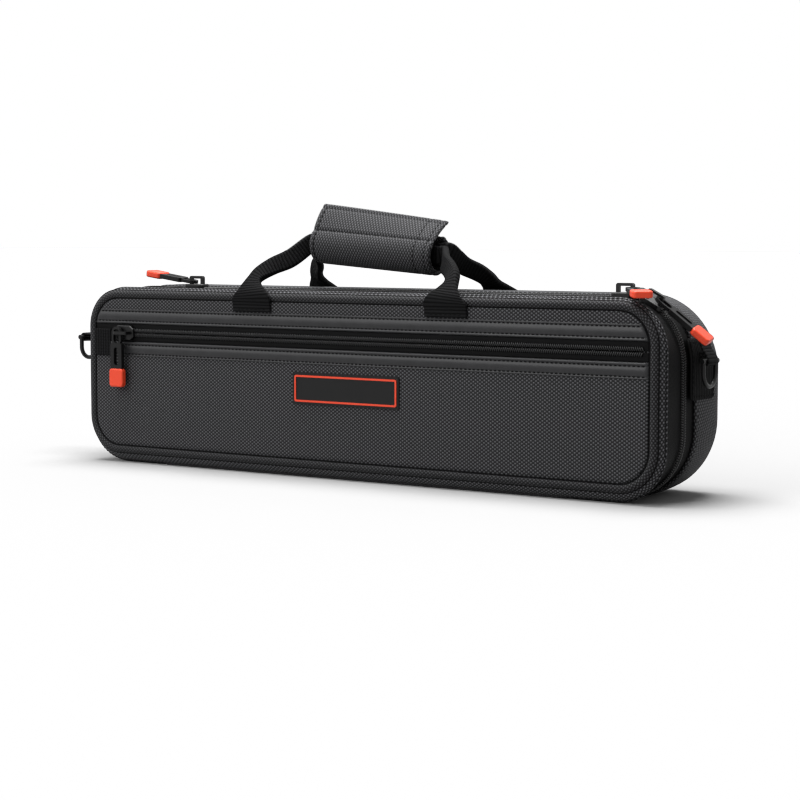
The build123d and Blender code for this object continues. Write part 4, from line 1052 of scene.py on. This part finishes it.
def inflate(piece, voxel, pressure, most, heldBelow):
    # the closed mesh becomes an even one, is filled with air as cloth for twenty frames while its flat
    # underside is held, and each point moves by no more than the limit
    scene = bpy.context.scene
    even = piece.modifiers.new("even", "REMESH")
    even.mode = "VOXEL"
    even.voxel_size = voxel
    mesh = bpy.data.meshes.new_from_object(piece.evaluated_get(bpy.context.evaluated_depsgraph_get()))
    piece.modifiers.clear()
    piece.data = mesh
    rest = np.empty(len(mesh.vertices) * 3, np.float32)
    mesh.vertices.foreach_get("co", rest)
    rest = rest.reshape(-1, 3)
    held = piece.vertex_groups.new(name="held")
    held.add(np.nonzero(rest[:, 1] < heldBelow)[0].tolist(), 1.0, "REPLACE")
    cloth = piece.modifiers.new("fill", "CLOTH")
    cloth.settings.vertex_group_mass = "held"
    cloth.settings.use_pressure = True
    cloth.settings.uniform_pressure_force = pressure
    cloth.settings.effector_weights.gravity = 0
    for step in range(1, 21):
        scene.frame_set(step)
    puffed = np.empty_like(rest).ravel()
    piece.evaluated_get(bpy.context.evaluated_depsgraph_get()).data.vertices.foreach_get("co", puffed)
    move = puffed.reshape(-1, 3) - rest
    far = np.linalg.norm(move, axis=1, keepdims=True)
    print("pad moved by up to", round(float(far.max()) / mm, 2), "mm")
    piece.modifiers.clear()
    mesh.vertices.foreach_set("co", (rest + move * np.minimum(1, most / np.maximum(far, 1e-9))).ravel())
    mesh.polygons.foreach_set("use_smooth", np.ones(len(mesh.polygons), bool))
    mesh.update()
    scene.frame_set(1)
    finer = piece.modifiers.new("finer", "SUBSURF")
    finer.levels = finer.render_levels = 1


def makeLidPad():
    # concentric rounded rectangles: the pad's face swells from its edge
    inset = np.concatenate([[0.0], np.linspace(0.15, 4.5, 10), np.linspace(6, 38, 12)])
    swell = 1 - np.exp(-inset / 2.6)
    y = -27.3 + 0.8 + 6.0 * swell
    face = rectPoints(fineLoop, 197.0 - inset, 17.8 + inset, 98.2 - inset, np.maximum(20.0 - inset, 0.5), y)
    under = rectPoints(fineLoop, 197.0 - inset, 17.8 + inset, 98.2 - inset, np.maximum(20.0 - inset, 0.5), -27.4 + 0 * y)
    grid = np.concatenate([under[:, ::-1], face], axis=1)
    pad = meshFrom("lid_pad_plush", [(grid.transpose(1, 0, 2), False, True, True)], mats["plush"], "lid", ["lid_pad"])
    inflate(pad, 0.004, 4.0, 0.004, -0.0269)


makeRearPanel()
makeHinge()
makeLinings()
makeBed()
makeLidPad()
print("rear and inside made")

# camera, floor and light
view = dict(turn=34.6, pitch=4.74, place=(0.727, -1.036, 0.152), pixels=2037.0, width=800.0, sensor=36.0)


def makeCamera():
    turn, pitch = math.radians(view["turn"]), math.radians(view["pitch"])
    data = bpy.data.cameras.new("camera")
    data.sensor_width = view["sensor"]
    data.lens = view["pixels"] * view["sensor"] / view["width"]
    data.clip_end = 50
    camera = bpy.data.objects.new("camera", data)
    camera.location = view["place"]
    camera.rotation_euler = (math.pi / 2 - pitch, 0, turn)
    bpy.context.scene.collection.objects.link(camera)
    bpy.context.scene.camera = camera


def makeFloor():
    # wide pale floor: the camera and reflections see plain white with the object's shadow in it
    mesh = bpy.data.meshes.new("floor")
    side = 12.0
    mesh.from_pydata([(-side, -side, 0), (side, -side, 0), (side, side, 0), (-side, side, 0)], [], [(0, 1, 2, 3)])
    floor = bpy.data.objects.new("floor", mesh)
    bpy.context.scene.collection.objects.link(floor)
    made, tree, shader = newMaterial("floorPale", 0.9, specular=0.0)
    seen = Wire(tree, tree.nodes.new("ShaderNodeLightPath").outputs["Is Camera Ray"])
    tree.links.new(mixColour(seen, seen, (0.30, 0.30, 0.30), (0.92, 0.92, 0.92)).socket, shader.inputs["Base Color"])
    mesh.materials.append(made)
    floor.is_shadow_catcher = True


def makeLight(name, place, target, size, power):
    data = bpy.data.lights.new(name, "AREA")
    data.shape = "RECTANGLE"
    data.size, data.size_y = size
    data.energy = power
    light = bpy.data.objects.new(name, data)
    light.location = place
    direction = np.array(target, float) - np.array(place, float)
    flat = math.hypot(direction[0], direction[1])
    light.rotation_euler = (math.pi / 2 + math.atan2(direction[2], flat), 0, math.atan2(-direction[0], direction[1]))
    bpy.context.scene.collection.objects.link(light)


def makeWorld():
    world = bpy.data.worlds.new("studio")
    bpy.context.scene.world = world
    world.use_nodes = True
    tree = world.node_tree
    background = tree.nodes["Background"]
    path = tree.nodes.new("ShaderNodeLightPath")
    seen = Wire(tree, path.outputs["Is Camera Ray"]).top(Wire(tree, path.outputs["Is Glossy Ray"]))
    strength = seen * 0.64 + 0.36
    background.inputs[0].default_value = (1, 1, 1, 1)
    tree.links.new(strength.socket, background.inputs[1])


makeCamera()
makeFloor()
makeWorld()
makeLight("key", (-0.9, -1.3, 1.3), (0, 0, 0.05), (2.2, 1.8), 24)
makeLight("top", (-0.15, 0.1, 1.6), (-0.1, 0, 0.05), (1.1, 1.0), 64)
makeLight("front", (-0.6, -1.9, 0.9), (0, 0, 0.05), (1.3, 1.2), 11.5)
bpy.context.scene.view_settings.view_transform = "Standard"
print("camera and light made")
